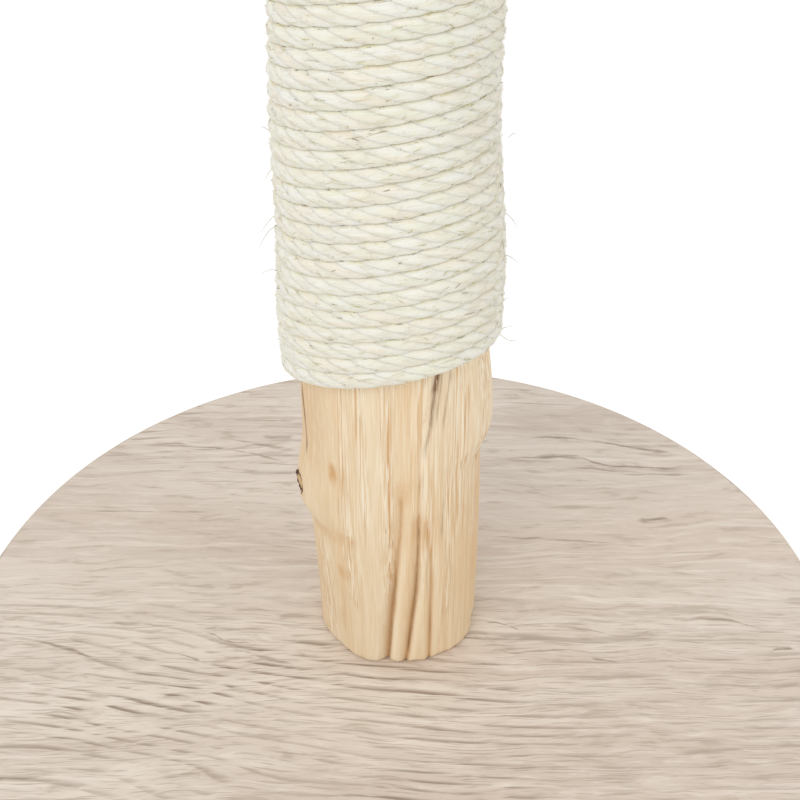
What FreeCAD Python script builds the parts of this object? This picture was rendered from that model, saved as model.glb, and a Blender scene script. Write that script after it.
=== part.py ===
import FreeCAD, Part
import math
import os

# A free-standing scratching post: a round laminated board on floor pads, a peeled natural
# trunk bolted to its middle from below, and one length of thick rope wound round the trunk.
# Millimetres, +Z up. The origin is on the floor under the board's centre, and -Y is the front.

Vec = FreeCAD.Vector
UP = Vec(0, 0, 1)

# ---- Board ----
board_radius = 250.0
core_thickness = 20.0
laminate_thickness = 0.8
band_thickness = 1.2          # glued strip round the board's edge
band_edge_chamfer = 0.7
band_joint_gap = 0.4          # where the strip's two ends meet, at the back
glue_line = 0.1

# ---- Floor pads ----
pad_count = 6
pad_radius = 15.0
pad_thickness = 3.4
pad_inset = 38.0              # pad centre to board edge

# ---- Trunk ----
trunk_foot_radius = 44.6
trunk_belly_radius = 46.6
trunk_neck_radius = 46.0      # where the rope starts
trunk_top_radius = 41.6
trunk_lean = 3.9              # the upper trunk stands this far to the left of the foot
trunk_lean_end = 0.9          # where it is upright again, as a share of the bare foot's height
trunk_belly_end = 0.87        # where the belly ends, as the same kind of share
trunk_widening_end = 0.83
hollow_end = 0.88             # where the hollows and knots have run out
foot_rounding = 2.6
top_chamfer = 2.5
bare_foot_height = 186.0      # board to the rope's lowest turn, halfway round
bare_head_height = 52.0

# ---- Rope ----
rope_diameter = 8.0
rope_flattening = 0.6         # how much narrower the packed rope is than the loose one
rope_turns = 24
rope_pitch = 8.8
rope_seat_clearance = 0.35
rope_sides = 6
rope_arcs_per_turn = 2        # each is a pair of arcs
rope_rise_right = 7.8         # how much higher the lowest turn lies on its right side
rope_rise_right_top = 5.6     # the same at the top turn
rope_rise_front = 11.0        # how much higher the lowest turn lies at the front
rope_rise_front_rest = 6.5    # what is left of that once the turns have settled
rope_settling_turns = 6.0

# ---- Bolt, washers and insert that hold the trunk ----
bolt_diameter = 10.0
bolt_head_across = 16.0
bolt_head_height = 6.4
bolt_engagement = 30.0        # thread length inside the insert
bolt_tip_chamfer = 1.0
lock_washer_outer = 18.0
lock_washer_thickness = 2.2
lock_washer_split = 1.6
flat_washer_outer = 30.0
flat_washer_thickness = 2.5
washer_bore_clearance = 0.25
bolt_head_recess = 1.0        # head below the board's underside
counterbore_clearance = 1.0
bolt_hole_clearance = 0.5
insert_wall = 3.0
insert_length = 32.0
insert_recess = 1.0
insert_bore_spare = 3.0       # free depth above the insert
bolt_head_bevel = 0.6         # how far the head's corners are eased, across its flats
bolt_head_bevel_height = 1.2
lock_washer_split_angle = 55.0
thread_clearance = 0.1
press_clearance = 0.1

# ---- Screws that stop the trunk turning ----
screw_count = 3
screw_diameter = 5.0
screw_head_diameter = 10.0
screw_head_height = 2.8
screw_bite = 32.0             # length inside the trunk
screw_tip_length = 5.0
screw_recess = 0.4
screw_circle_radius = 29.0
screw_clearance = 0.15

# ---- Staples at the rope's ends ----
staple_wire = 1.0
staple_leg = 11.0             # length inside the wood
staple_clearance = 0.15
staple_from_end = 9.0         # along the rope, from its cut end

overrun = 1.0                 # how far a hole's form passes the face that it opens

# ---- Heights that follow ----
board_bottom = pad_thickness
core_bottom = board_bottom + laminate_thickness
core_top = core_bottom + core_thickness
board_top = core_top + laminate_thickness
core_radius = board_radius - band_thickness
rope_zone_height = rope_turns * rope_pitch
trunk_height = bare_foot_height + rope_zone_height + bare_head_height
rope_radius = (rope_diameter - rope_flattening) / 2.0
bolt_radius = bolt_diameter / 2.0
counterbore_depth = (bolt_head_recess + bolt_head_height + lock_washer_thickness
                     + flat_washer_thickness)
counterbore_radius = flat_washer_outer / 2.0 + counterbore_clearance
head_bottom = board_bottom + bolt_head_recess
head_top = head_bottom + bolt_head_height
lock_washer_top = head_top + lock_washer_thickness
washer_seat = board_bottom + counterbore_depth
insert_bottom = board_top + insert_recess
insert_radius = bolt_radius + thread_clearance + insert_wall

# The trunk's long hollows: angle at the foot, angle at the rope, depth, half width.
# Angles are in degrees from the front, towards the right.
HOLLOWS = (
    (-8.0, 7.0, 3.2, 9.0),
    (11.0, 19.0, 2.2, 8.0),
    (31.0, 25.0, 1.8, 9.0),
    (-52.0, -40.0, 1.4, 14.0),
    (78.0, 66.0, 1.6, 12.0),
    (124.0, 132.0, 2.4, 12.0),
    (171.0, 166.0, 1.8, 10.0),
    (-128.0, -136.0, 2.6, 13.0),
)
# Its swollen knots: angle, height on the trunk, rise, half width in degrees, half height.
KNOTS = (
    (-82.0, 98.0, 8.0, 34.0, 19.0),
    (80.0, 147.0, 5.4, 27.0, 19.0),
    (150.0, 62.0, 3.0, 24.0, 22.0),
)
trunk_points_round = 30
trunk_foot_steps = 9
neck_shoulder = 0.3           # step where the seat shaved for the rope begins
shoulder_drop = 4.0           # how far below the rope that step lies


def smooth(share):
    """0 to 1 with level ends."""
    share = min(max(share, 0.0), 1.0)
    return share * share * (3.0 - 2.0 * share)


def plain_radius(level):
    """The trunk's mean radius at a height on the trunk."""
    if level < bare_foot_height:
        share = level / bare_foot_height
        belly = math.sin(math.pi * min(share / trunk_belly_end, 1.0)) ** 2
        widening = trunk_neck_radius + neck_shoulder - trunk_foot_radius
        line = trunk_foot_radius + widening * smooth(share / trunk_widening_end)
        return line + (trunk_belly_radius - trunk_neck_radius) * belly
    share = (level - bare_foot_height) / (trunk_height - bare_foot_height)
    return trunk_neck_radius + (trunk_top_radius - trunk_neck_radius) * share


def trunk_axis_x(level):
    """How far right of the foot's centre the trunk's axis is at a height on the trunk."""
    return -trunk_lean * smooth(level / (trunk_lean_end * bare_foot_height))


def bell(distance, half_width):
    return math.exp(-(distance / half_width) ** 2)


def turn_between(angle, other):
    """The signed angle between two directions, in degrees, from -180 to 180."""
    return (angle - other + 180.0) % 360.0 - 180.0


def trunk_radius(from_front, level):
    """The trunk's radius in a direction, with its hollows and knots."""
    radius = plain_radius(level)
    share = level / (hollow_end * bare_foot_height)
    if share < 1.0:
        fade = 1.0 - smooth(share)
        for foot_angle, rope_angle, depth, half_width in HOLLOWS:
            centre = foot_angle + (rope_angle - foot_angle) * share
            radius -= depth * fade * bell(turn_between(from_front, centre), half_width)
        for angle, height, rise, half_width, half_height in KNOTS:
            side = bell(turn_between(from_front, angle), half_width)
            radius += rise * side * bell(level - height, half_height)
    return radius


def direction(from_front):
    """A level unit vector, at an angle in degrees from the front, towards the right."""
    turned = math.radians(from_front)
    return Vec(math.sin(turned), -math.cos(turned), 0)


def cylinder(radius, bottom, top, x=0.0, y=0.0):
    return Part.makeCylinder(radius, top - bottom, Vec(x, y, bottom), UP)


def ring(outer, inner, bottom, top):
    return cylinder(outer, bottom, top).cut(cylinder(inner, bottom - overrun, top + overrun))


def circles_at(shape, height, radius):
    """The shape's round edges of one radius at one height."""
    return [edge for edge in shape.Edges
            if isinstance(edge.Curve, Part.Circle)
            and abs(edge.Curve.Radius - radius) < 0.01
            and abs(edge.Curve.Center.z - height) < 0.01]


# ---- Fasteners, each with a clearance of 0 for itself and more for its hole ----

def revolved(profile, x=0.0):
    """A solid of revolution about an upright axis at x, from (radius, height) corners."""
    corners = [Vec(x + radius, 0, height) for radius, height in profile]
    wire = Part.makePolygon(corners + corners[:1])
    return Part.Face(wire).revolve(Vec(x, 0, 0), UP, 360)


def screw(index, clearance=0.0):
    """A countersunk screw through the board into the trunk."""
    head = screw_head_diameter / 2.0 + clearance
    shank = screw_diameter / 2.0 + clearance
    bottom = board_bottom + screw_recess
    tip = board_top + screw_bite + clearance
    profile = [(head, bottom), (shank, bottom + screw_head_height),
               (shank, tip - screw_tip_length), (0, tip)]
    if clearance:
        profile.insert(0, (head, board_bottom - overrun))
    profile.insert(0, (0, profile[0][1]))
    solid = revolved(profile)
    solid.translate(direction(360.0 / screw_count * (index + 0.5)) * screw_circle_radius)
    return solid


def all_screw_holes():
    holes = screw(0, screw_clearance)
    for index in range(1, screw_count):
        holes = holes.fuse(screw(index, screw_clearance))
    return holes


def bolt():
    """A hexagon bolt, head down in the counterbore."""
    corner = bolt_head_across / math.sqrt(3.0)
    corners = [direction(60.0 * i) * corner + UP * head_bottom for i in range(6)]
    head = Part.Face(Part.makePolygon(corners + corners[:1]))
    head = head.extrude(UP * bolt_head_height)
    bevelled = bolt_head_across / 2.0 - bolt_head_bevel
    cone = revolved([(0, head_bottom), (bevelled, head_bottom),
                     (corner + overrun, head_bottom + bolt_head_bevel_height),
                     (corner + overrun, head_top), (0, head_top)])
    head = head.common(cone)
    tip = insert_bottom + bolt_engagement
    shank = revolved([(0, head_top - overrun), (bolt_radius, head_top - overrun),
                      (bolt_radius, tip - bolt_tip_chamfer),
                      (bolt_radius - bolt_tip_chamfer, tip), (0, tip)])
    return head.fuse(shank).removeSplitter()


def lock_washer():
    """A split spring washer between the bolt's head and the flat washer."""
    washer = ring(lock_washer_outer / 2.0, bolt_radius + washer_bore_clearance,
                  head_top, lock_washer_top)
    split = Part.makeBox(lock_washer_outer, lock_washer_split,
                         lock_washer_thickness + 2.0 * overrun,
                         Vec(0, -lock_washer_split / 2.0, head_top - overrun))
    split.rotate(Vec(0, 0, 0), UP, lock_washer_split_angle)
    return washer.cut(split)


def flat_washer():
    return ring(flat_washer_outer / 2.0, bolt_radius + washer_bore_clearance,
                lock_washer_top, washer_seat)


def insert(clearance=0.0):
    """The threaded sleeve in the trunk's foot; with a clearance, the hole that takes it."""
    outer = insert_radius + clearance
    top = insert_bottom + insert_length
    if clearance:
        return cylinder(outer, board_top - overrun, top + insert_bore_spare)
    return ring(outer, bolt_radius + thread_clearance, insert_bottom, top)


# ---- Board ----

def board_holes():
    bolt_hole_radius = bolt_radius + bolt_hole_clearance
    holes = cylinder(counterbore_radius, board_bottom - overrun, washer_seat)
    holes = holes.fuse(cylinder(bolt_hole_radius, washer_seat - overrun, board_top + overrun))
    return holes.fuse(all_screw_holes())


def board_layer(bottom, top):
    """One glued layer of the board, with the fasteners' holes through it."""
    return cylinder(core_radius, bottom, top).cut(board_holes())


def edge_band():
    """The strip round the board's edge, its top corner eased and its ends at the back."""
    band = ring(board_radius, core_radius + glue_line, board_bottom, board_top)
    corner = circles_at(band, board_top, board_radius)
    band = band.makeChamfer(min(band_edge_chamfer, 0.9 * (band_thickness - glue_line)), corner)
    gap = Part.makeBox(band_joint_gap, band_thickness + 2.0 * overrun,
                       board_top - board_bottom + 2.0 * overrun,
                       Vec(-band_joint_gap / 2.0, core_radius - overrun, board_bottom - overrun))
    return band.cut(gap)


def floor_pad(index):
    place = direction(360.0 / pad_count * (index + 0.5)) * (board_radius - pad_inset)
    return cylinder(pad_radius, 0, pad_thickness, place.x, place.y)


# ---- Rope ----

def rope_height(turn):
    """The rope's height on the trunk before its tilt, at its axis."""
    return bare_foot_height + rope_diameter / 2.0 + rope_pitch * turn


def rope_point(turn):
    """The rope's axis. The turns count from the front of the lowest one, rising to the right."""
    angle = 360.0 * turn
    along = max(turn, 0.0)
    right = rope_rise_right + (rope_rise_right_top - rope_rise_right) * along / rope_turns
    front = (rope_rise_front_rest + (rope_rise_front - rope_rise_front_rest)
             * math.exp(-along / rope_settling_turns))
    outward = direction(angle)
    level = rope_height(turn) + right * outward.x - front * outward.y
    reach = plain_radius(level) + rope_seat_clearance + rope_radius
    return outward * reach + Vec(trunk_axis_x(level), 0, board_top + level)


def rope_tangent(turn, step=0.0005):
    return (rope_point(turn + step) - rope_point(turn - step)).normalize()


def tangent_arc(start, heading, end):
    """The arc from start to end that leaves start along heading."""
    chord = end - start
    side = chord - heading * chord.dot(heading)
    radius = chord.dot(chord) / (2.0 * side.Length)
    centre = start + side.normalize() * radius
    middle = ((start - centre) + (end - centre)).normalize()
    return Part.Arc(start, centre + middle * radius, end).toShape()


def biarc(start, start_heading, end, end_heading):
    """Two arcs that join smoothly and keep both end headings."""
    chord = end - start
    a = 2.0 * (start_heading.dot(end_heading) - 1.0)
    b = -2.0 * chord.dot(start_heading + end_heading)
    c = chord.dot(chord)
    reach = (-b - math.sqrt(b * b - 4.0 * a * c)) / (2.0 * a)
    if reach < 0:
        reach = (-b + math.sqrt(b * b - 4.0 * a * c)) / (2.0 * a)
    first = start + start_heading * reach
    second = end - end_heading * reach
    joint = (first + second) * 0.5
    heading = (second - first).normalize()
    return [tangent_arc(start, start_heading, joint), tangent_arc(joint, heading, end)]


rope_first = -0.5             # the rope's ends lie at the back
rope_last = rope_first + rope_turns


def rope_path():
    """The axis of one unbroken length of rope round the trunk, with short straight ends."""
    steps = rope_turns * rope_arcs_per_turn
    stations = [rope_first + (rope_last - rope_first) * i / steps for i in range(steps + 1)]
    edges = []
    for here, there in zip(stations[:-1], stations[1:]):
        edges += biarc(rope_point(here), rope_tangent(here), rope_point(there), rope_tangent(there))
    tail = rope_point(rope_first) - rope_tangent(rope_first) * rope_diameter
    head = rope_point(rope_last) + rope_tangent(rope_last) * rope_diameter
    edges.insert(0, Part.LineSegment(tail, rope_point(rope_first)).toShape())
    edges.append(Part.LineSegment(rope_point(rope_last), head).toShape())
    return Part.Wire(edges)


def rope_winding(path):
    """The rope: a faceted tube along its path."""
    heading = rope_tangent(rope_first)
    tail = path.Vertexes[0].Point
    side = UP.cross(heading).normalize()
    lift = heading.cross(side)
    corners = []
    for i in range(rope_sides):
        angle = 2.0 * math.pi * (i + 0.5) / rope_sides
        corners.append(tail + (side * math.cos(angle) + lift * math.sin(angle)) * rope_radius)
    section = Part.makePolygon(corners + corners[:1])
    tube = path.makePipeShell([section], True, False)
    area = Part.Face(section).Area
    print("rope: length %.0f mm, volume %.0f, section times length %.0f"
          % (path.Length, tube.Volume, area * path.Length))
    return tube


def rope_least_gap(path):
    """The rope's least gap to itself, measured between points of neighbouring turns."""
    step = 4.0
    points = path.discretize(Distance=step)
    half_turn = int(math.pi * trunk_neck_radius / step)
    least = min((here - there).Length
                for i, here in enumerate(points)
                for there in points[i + half_turn:i + 3 * half_turn])
    return least - 2.0 * rope_radius


# ---- Staples ----

def staple_frame(turn):
    """A staple's centre on the rope's axis, its outward direction and its side direction."""
    centre = rope_point(turn)
    heading = rope_tangent(turn)
    outward = direction(360.0 * turn)
    outward = (outward - heading * outward.dot(heading)).normalize()
    return centre, outward, heading.cross(outward).normalize()


def staple_turn(end):
    """How far along the rope a staple sits, in turns, for its lower or upper end."""
    share = staple_from_end / (2.0 * math.pi * trunk_neck_radius)
    return rope_first + share if end == "lower" else rope_last - share


def staple(end, clearance=0.0):
    """Square wire bent over the rope, both legs in the wood; with a clearance, its slots."""
    centre, outward, side = staple_frame(staple_turn(end))
    inner = rope_radius + staple_clearance - clearance
    outer = inner + staple_wire + 2.0 * clearance
    foot = -(rope_radius + rope_seat_clearance + staple_leg + clearance)
    outline = [(outer, foot), (outer, outer), (-outer, outer), (-outer, foot),
               (-inner, foot), (-inner, inner), (inner, inner), (inner, foot)]
    width = staple_wire + 2.0 * clearance
    across = side.cross(outward) * width
    corners = [centre + side * x + outward * y - across * 0.5 for x, y in outline]
    return Part.Face(Part.makePolygon(corners + corners[:1])).extrude(across)


# ---- Trunk ----

def trunk_section(level, inset=0.0):
    """A closed curve round the trunk at one height."""
    points = []
    for i in range(trunk_points_round):
        from_front = 360.0 * i / trunk_points_round
        place = direction(from_front) * (trunk_radius(from_front, level) - inset)
        points.append(place + Vec(trunk_axis_x(level), 0, board_top + level))
    curve = Part.BSplineCurve()
    curve.interpolate(Points=points, PeriodicFlag=True)
    return Part.Wire([curve.toShape()])


def trunk_foot():
    """The bare lower trunk with its hollows and knots, drawn in where it meets the board."""
    top = bare_foot_height - shoulder_drop
    sections = [trunk_section(0, foot_rounding), trunk_section(foot_rounding)]
    sections += [trunk_section(top * i / trunk_foot_steps)
                 for i in range(1, trunk_foot_steps + 1)]
    return Part.makeLoft(sections, True, True)


def upper_trunk():
    """The tapering trunk under the rope, shaved smooth, with its sawn and chamfered top."""
    bottom = bare_foot_height - shoulder_drop
    neck = trunk_neck_radius
    top = trunk_height
    return revolved([(0, board_top + bottom), (neck, board_top + bottom),
                     (neck, board_top + bare_foot_height),
                     (plain_radius(top - top_chamfer), board_top + top - top_chamfer),
                     (trunk_top_radius - top_chamfer, board_top + top), (0, board_top + top)],
                    trunk_axis_x(top))


def trunk():
    """The trunk with the holes for its insert, screws and staples."""
    solid = trunk_foot().fuse(upper_trunk())
    solid = solid.cut(insert(press_clearance)).cut(all_screw_holes())
    for end in ("lower", "upper"):
        solid = solid.cut(staple(end, staple_clearance))
    return solid


def build():
    parts = {
        "base_core": board_layer(core_bottom, core_top),
        "bottom_laminate": board_layer(board_bottom, core_bottom),
        "top_laminate": board_layer(core_top, board_top),
        "edge_band": edge_band(),
        "trunk": trunk(),
        "threaded_insert": insert(),
        "centre_bolt": bolt(),
        "spring_lock_washer": lock_washer(),
        "flat_washer": flat_washer(),
        "rope_winding": rope_winding(rope_path()),
        "lower_rope_staple": staple("lower"),
        "upper_rope_staple": staple("upper"),
    }
    for index in range(pad_count):
        parts["floor_pad_%d" % (index + 1)] = floor_pad(index)
    for index in range(screw_count):
        parts["anti_turn_screw_%d" % (index + 1)] = screw(index)
    return parts


os.makedirs("parts", exist_ok=True)
for name, shape in build().items():
    if not shape.isValid():
        raise RuntimeError(name + " isn't a valid solid")
    shape.exportStep("parts/" + name + ".step")
    box = shape.BoundBox
    print("%-20s solids %d  volume %10.1f  z %.2f to %.2f"
          % (name, len(shape.Solids), shape.Volume, box.ZMin, box.ZMax))
print("least gap between two turns of rope: %.2f mm" % rope_least_gap(rope_path()))
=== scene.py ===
# %% [markdown]
# # A cat scratching post
# A round board on felt pads carries a peeled trunk, and one long rope is wound round the trunk.
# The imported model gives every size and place, so it is loaded first and nothing in it is moved.
# Pieces whose shape is already right keep their mesh and only get a finish. The others are
# modelled again here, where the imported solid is, with the detail that a finish can't give.

# %% Load the frame
import math

import bpy
import numpy as np
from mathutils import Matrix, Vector


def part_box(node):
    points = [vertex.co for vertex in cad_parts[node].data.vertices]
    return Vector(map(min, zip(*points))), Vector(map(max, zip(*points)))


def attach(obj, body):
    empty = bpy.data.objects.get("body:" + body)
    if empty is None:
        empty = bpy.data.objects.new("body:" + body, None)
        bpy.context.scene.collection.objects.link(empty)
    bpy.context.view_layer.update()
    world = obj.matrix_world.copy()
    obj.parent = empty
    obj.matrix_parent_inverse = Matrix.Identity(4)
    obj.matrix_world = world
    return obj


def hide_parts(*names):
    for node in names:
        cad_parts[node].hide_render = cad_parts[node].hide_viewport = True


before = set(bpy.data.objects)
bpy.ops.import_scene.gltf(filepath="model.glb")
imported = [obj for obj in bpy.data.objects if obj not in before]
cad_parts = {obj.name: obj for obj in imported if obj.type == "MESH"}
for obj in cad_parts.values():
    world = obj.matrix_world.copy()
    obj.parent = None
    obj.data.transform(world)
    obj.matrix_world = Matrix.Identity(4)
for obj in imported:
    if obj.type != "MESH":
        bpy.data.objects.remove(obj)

scene = bpy.context.scene
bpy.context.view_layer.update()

# %% [markdown]
# ## Sizes
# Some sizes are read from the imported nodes. The rest are those that the trunk and the rope were
# made from. They are written once here, in metres, so that the finer pieces fit their solids.

# %% Sizes that several pieces use
mm = 0.001
full_turn = 2.0 * math.pi
board_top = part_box("top_laminate")[1].z
board_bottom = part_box("bottom_laminate")[0].z
board_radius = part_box("edge_band")[1].x
trunk_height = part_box("trunk")[1].z - board_top
bare_foot_height = 186.0 * mm
rope_turns = 24
rope_pitch = 8.8 * mm
trunk_foot_radius = 44.6 * mm
trunk_belly_radius = 46.6 * mm
trunk_neck_radius = 46.0 * mm
trunk_top_radius = 41.6 * mm
trunk_lean = 3.9 * mm
print("board radius %.4f, trunk height %.4f" % (board_radius, trunk_height))

# %% [markdown]
# ## Camera, floor and light
# The photograph looks down at the foot of the post from a little over half a metre away. Its
# whole picture is eight hundred pixels wide, and a circle drawn as an ellipse gives the camera's
# tilt. The floor is white and wide. A lamp box at the left front is the studio's window, and an
# even white sky fills the shadows, as it does in a photograph taken in a light tent.

# %% Camera
picture_width = 800
focal_pixels = 1300
camera_data = bpy.data.cameras.new("camera")
camera_data.lens = camera_data.sensor_width * focal_pixels / picture_width
camera = bpy.data.objects.new("camera", camera_data)
camera.location = (0.8 * mm, -549.0 * mm, 569.0 * mm)
camera_tilt = 54.41           # degrees up from looking straight down
camera.rotation_euler = (math.radians(camera_tilt), 0, 0)
scene.collection.objects.link(camera)
scene.camera = camera
scene.view_settings.view_transform = "Standard"
print("lens %.1f mm" % camera_data.lens)

# %% [markdown]
# Materials are built from nodes. Adding a node takes three steps: make it, set it, link it. One
# helper does all three and gives back the socket that the next node needs, so that a material
# reads from top to bottom like a recipe. Short helpers stand for the steps that come back most
# often, such as one tint laid over another. Geometry trees use the same helpers later.

# %% Helpers for nodes
def feed(tree, node, inputs):
    """Fills a node's inputs. A value is a number or a colour, or else another node's socket."""
    for name, value in inputs.items():
        if isinstance(value, bpy.types.NodeSocket):
            tree.links.new(value, node.inputs[name])
        else:
            node.inputs[name].default_value = value


def add(tree, kind, inputs=None, output=0, **settings):
    """Adds a node with its settings and inputs, and gives back one of its outputs."""
    made = tree.nodes.new(kind)
    for name, value in settings.items():
        setattr(made, name, value)
    feed(tree, made, inputs or {})
    return made.outputs[output]


def maths(tree, operation, first, second=0.0, third=0.0):
    return add(tree, "ShaderNodeMath", {0: first, 1: second, 2: third}, operation=operation)


def times(tree, first, second):
    return maths(tree, "MULTIPLY", first, second)


def linear(tree, value, factor, shift):
    """The value times a factor, plus a shift."""
    return maths(tree, "MULTIPLY_ADD", value, factor, shift)


def vector_maths(tree, operation, first, second, output=0):
    return add(tree, "ShaderNodeVectorMath", {0: first, 1: second}, output, operation=operation)


def joined(tree, x=0.0, y=0.0, z=0.0):
    """A vector from its three parts."""
    return add(tree, "ShaderNodeCombineXYZ", {0: x, 1: y, 2: z})


def part(tree, vector, axis):
    """One part of a vector, by its axis: X, Y or Z."""
    return add(tree, "ShaderNodeSeparateXYZ", {0: vector}, axis)


def remap(tree, value, low, high, to_low=0.0, to_high=1.0):
    """Low to high becomes to_low to to_high, with soft ends."""
    return add(tree, "ShaderNodeMapRange",
               {0: value, 1: low, 2: high, 3: to_low, 4: to_high}, interpolation_type="SMOOTHSTEP")


def mixed(tree, share, first, second, way="MIX"):
    return add(tree, "ShaderNodeMix", {0: share, 6: first, 7: second}, 2,
               data_type="RGBA", blend_type=way)


def noise(tree, vector, scale, detail=2.0, roughness=0.5, distortion=0.0):
    """Smooth noise from 0 to 1. Its scale is one number or one for each direction."""
    if not isinstance(scale, (int, float)):
        vector = vector_maths(tree, "MULTIPLY", vector, scale)
        scale = 1.0
    return add(tree, "ShaderNodeTexNoise", {"Vector": vector, "Scale": scale, "Detail": detail,
                                            "Roughness": roughness, "Distortion": distortion})


def tint(red, green, blue):
    """A colour as a screen shows it, from 0 to 255, made linear for the renderer."""
    shares = [value / 255.0 for value in (red, green, blue)]
    return tuple(share / 12.92 if share <= 0.04045 else ((share + 0.055) / 1.055) ** 2.4
                 for share in shares) + (1.0,)


def over(tree, colour, mask, share, rgb):
    """Lays a tint over a colour where a mask is high. At most, it covers this share."""
    return mixed(tree, times(tree, mask, share), colour, tint(*rgb))


def new_material(name):
    material = bpy.data.materials.new(name)
    material.use_nodes = True
    return material, material.node_tree, material.node_tree.nodes["Principled BSDF"]


def bumped(tree, height, depth):
    """A normal that follows a height map whose full height is depth, in metres."""
    return add(tree, "ShaderNodeBump", {"Height": height, "Strength": 1.0, "Distance": depth})


def own_position(tree):
    return add(tree, "ShaderNodeTexCoord", output="Object")


def carried(tree, name, output="Fac"):
    """A mask or a place that the mesh carries with it."""
    return add(tree, "ShaderNodeAttribute", output=output, attribute_name=name)


def paint(node_name, material):
    """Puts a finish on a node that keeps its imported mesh."""
    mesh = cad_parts[node_name].data
    mesh.materials.clear()
    mesh.materials.append(material)


# %% Floor and light
floor_size = 12.0
floor_mesh = bpy.data.meshes.new("floor")
half = floor_size / 2.0
floor_mesh.from_pydata([(-half, -half, 0), (half, -half, 0), (half, half, 0), (-half, half, 0)],
                       [], [(0, 1, 2, 3)])
floor = bpy.data.objects.new("floor", floor_mesh)
scene.collection.objects.link(floor)


def backdrop_seen(tree):
    """1 for rays that show the backdrop: straight to the camera, mirrored or through glass."""
    path = tree.nodes.new("ShaderNodeLightPath")
    seen = maths(tree, "MAXIMUM", path.outputs["Is Camera Ray"], path.outputs["Is Glossy Ray"])
    return maths(tree, "MAXIMUM", seen, path.outputs["Is Transmission Ray"])


floor_material, tree, shader = new_material("floor_paint")
speckle = noise(tree, own_position(tree), 3.0)
floor_glow = 0.34
feed(tree, shader, {
    "Base Color": mixed(tree, speckle, tint(243, 243, 243), tint(246, 246, 246)),
    "Roughness": 0.9, "Specular IOR Level": 0.1, "Emission Color": (1, 1, 1, 1),
    "Emission Strength": times(tree, backdrop_seen(tree), floor_glow)})
floor_mesh.materials.append(floor_material)

world = bpy.data.worlds.new("studio")
world.use_nodes = True
tree = world.node_tree
ambient = 0.75
feed(tree, tree.nodes["Background"], {
    "Color": (1, 1, 1, 1), "Strength": remap(tree, backdrop_seen(tree), 0.0, 1.0, ambient, 1.0)})
scene.world = world


def lamp_box(name, place, aim, size, watts):
    """A square soft lamp that faces a point."""
    light = bpy.data.lights.new(name, "AREA")
    light.size = size
    light.energy = watts
    lamp = bpy.data.objects.new(name, light)
    lamp.location = place
    lamp.rotation_euler = (Vector(aim) - Vector(place)).to_track_quat("-Z", "Y").to_euler()
    scene.collection.objects.link(lamp)


post_middle = (0, 0, 0.2)
lamp_box("window", (-0.85, -1.35, 1.55), post_middle, 1.2, 12.0)
lamp_box("fill", (1.5, -0.9, 1.0), post_middle, 1.4, 4.8)

# %% [markdown]
# ## Effects that several finishes share
# Wood, felt, rope and oak print all have long fine fibres and slow changes of tone. Each effect
# is one shader node group with named inputs, placed in a material with that material's values.
# The groups give out masks and colours only. The shader itself stays in each material.

# %% Shader groups
def node_group(name, inputs, outputs, tree_kind="ShaderNodeTree"):
    """An empty group with named sockets. Returns it with its inner inputs and outputs."""
    tree = bpy.data.node_groups.new(name, tree_kind)
    for label, (kind, value) in inputs.items():
        socket = tree.interface.new_socket(label, in_out="INPUT", socket_type="NodeSocket" + kind)
        if value is not None:
            socket.default_value = value
    for label, kind in outputs.items():
        tree.interface.new_socket(label, in_out="OUTPUT", socket_type="NodeSocket" + kind)
    start = tree.nodes.new("NodeGroupInput")
    end = tree.nodes.new("NodeGroupOutput")
    return tree, start.outputs, end.inputs


def fibre_group():
    """Long fine fibres: Fine is every fibre, Streak only the bolder ones."""
    tree, given, result = node_group(
        "fibres",
        {"Vector": ("Vector", None), "Grain": ("Vector", (1000.0, 1000.0, 20.0)),
         "Streak share": ("Float", 0.35)},
        {"Fine": "Float", "Streak": "Float"})
    grain = vector_maths(tree, "MULTIPLY", given["Vector"], given["Grain"])
    tree.links.new(noise(tree, grain, 1.0, 3.0, 0.62), result["Fine"])
    coarse = noise(tree, grain, 0.42, 3.0, 0.55, 0.2)
    edge = maths(tree, "SUBTRACT", 0.72, times(tree, given["Streak share"], 0.4))
    wide = maths(tree, "ADD", edge, 0.14)
    tree.links.new(add(tree, "ShaderNodeMapRange", {0: coarse, 1: edge, 2: wide},
                       interpolation_type="SMOOTHSTEP"), result["Streak"])
    return tree


def tone_group():
    """Slow change between two colours, with a little fine grain in it."""
    tree, given, result = node_group(
        "tones",
        {"Vector": ("Vector", None), "Size": ("Vector", (10.0, 10.0, 10.0)),
         "First": ("Color", (1, 1, 1, 1)), "Second": ("Color", (0, 0, 0, 1))},
        {"Color": "Color"})
    place = vector_maths(tree, "MULTIPLY", given["Vector"], given["Size"])
    mask = remap(tree, noise(tree, place, 1.0, 4.0, 0.55), 0.3, 0.7)
    tree.links.new(mixed(tree, mask, given["First"], given["Second"]), result["Color"])
    return tree


fibres = fibre_group()
tones = tone_group()


def fibre_masks(tree, vector, grain, share=0.35):
    """Places the fibre group. Returns its Fine and Streak masks."""
    node = add(tree, "ShaderNodeGroup", {"Vector": vector, "Grain": grain, "Streak share": share},
               node_tree=fibres).node
    return node.outputs["Fine"], node.outputs["Streak"]


def toned(tree, vector, size, first, second):
    return add(tree, "ShaderNodeGroup",
               {"Vector": vector, "Size": size, "First": first, "Second": second},
               "Color", node_tree=tones)


print("groups:", [group.name for group in bpy.data.node_groups])

# %% [markdown]
# ## A skin over a stack of rings
# Most hard pieces here are a closed outline carried along a way: a trunk is rings that rise, an
# edge strip is a small outline that goes round the board, a staple is a wire's circle that goes
# over the rope. One helper skins such a stack and closes both ends, so every piece is solid.

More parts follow.
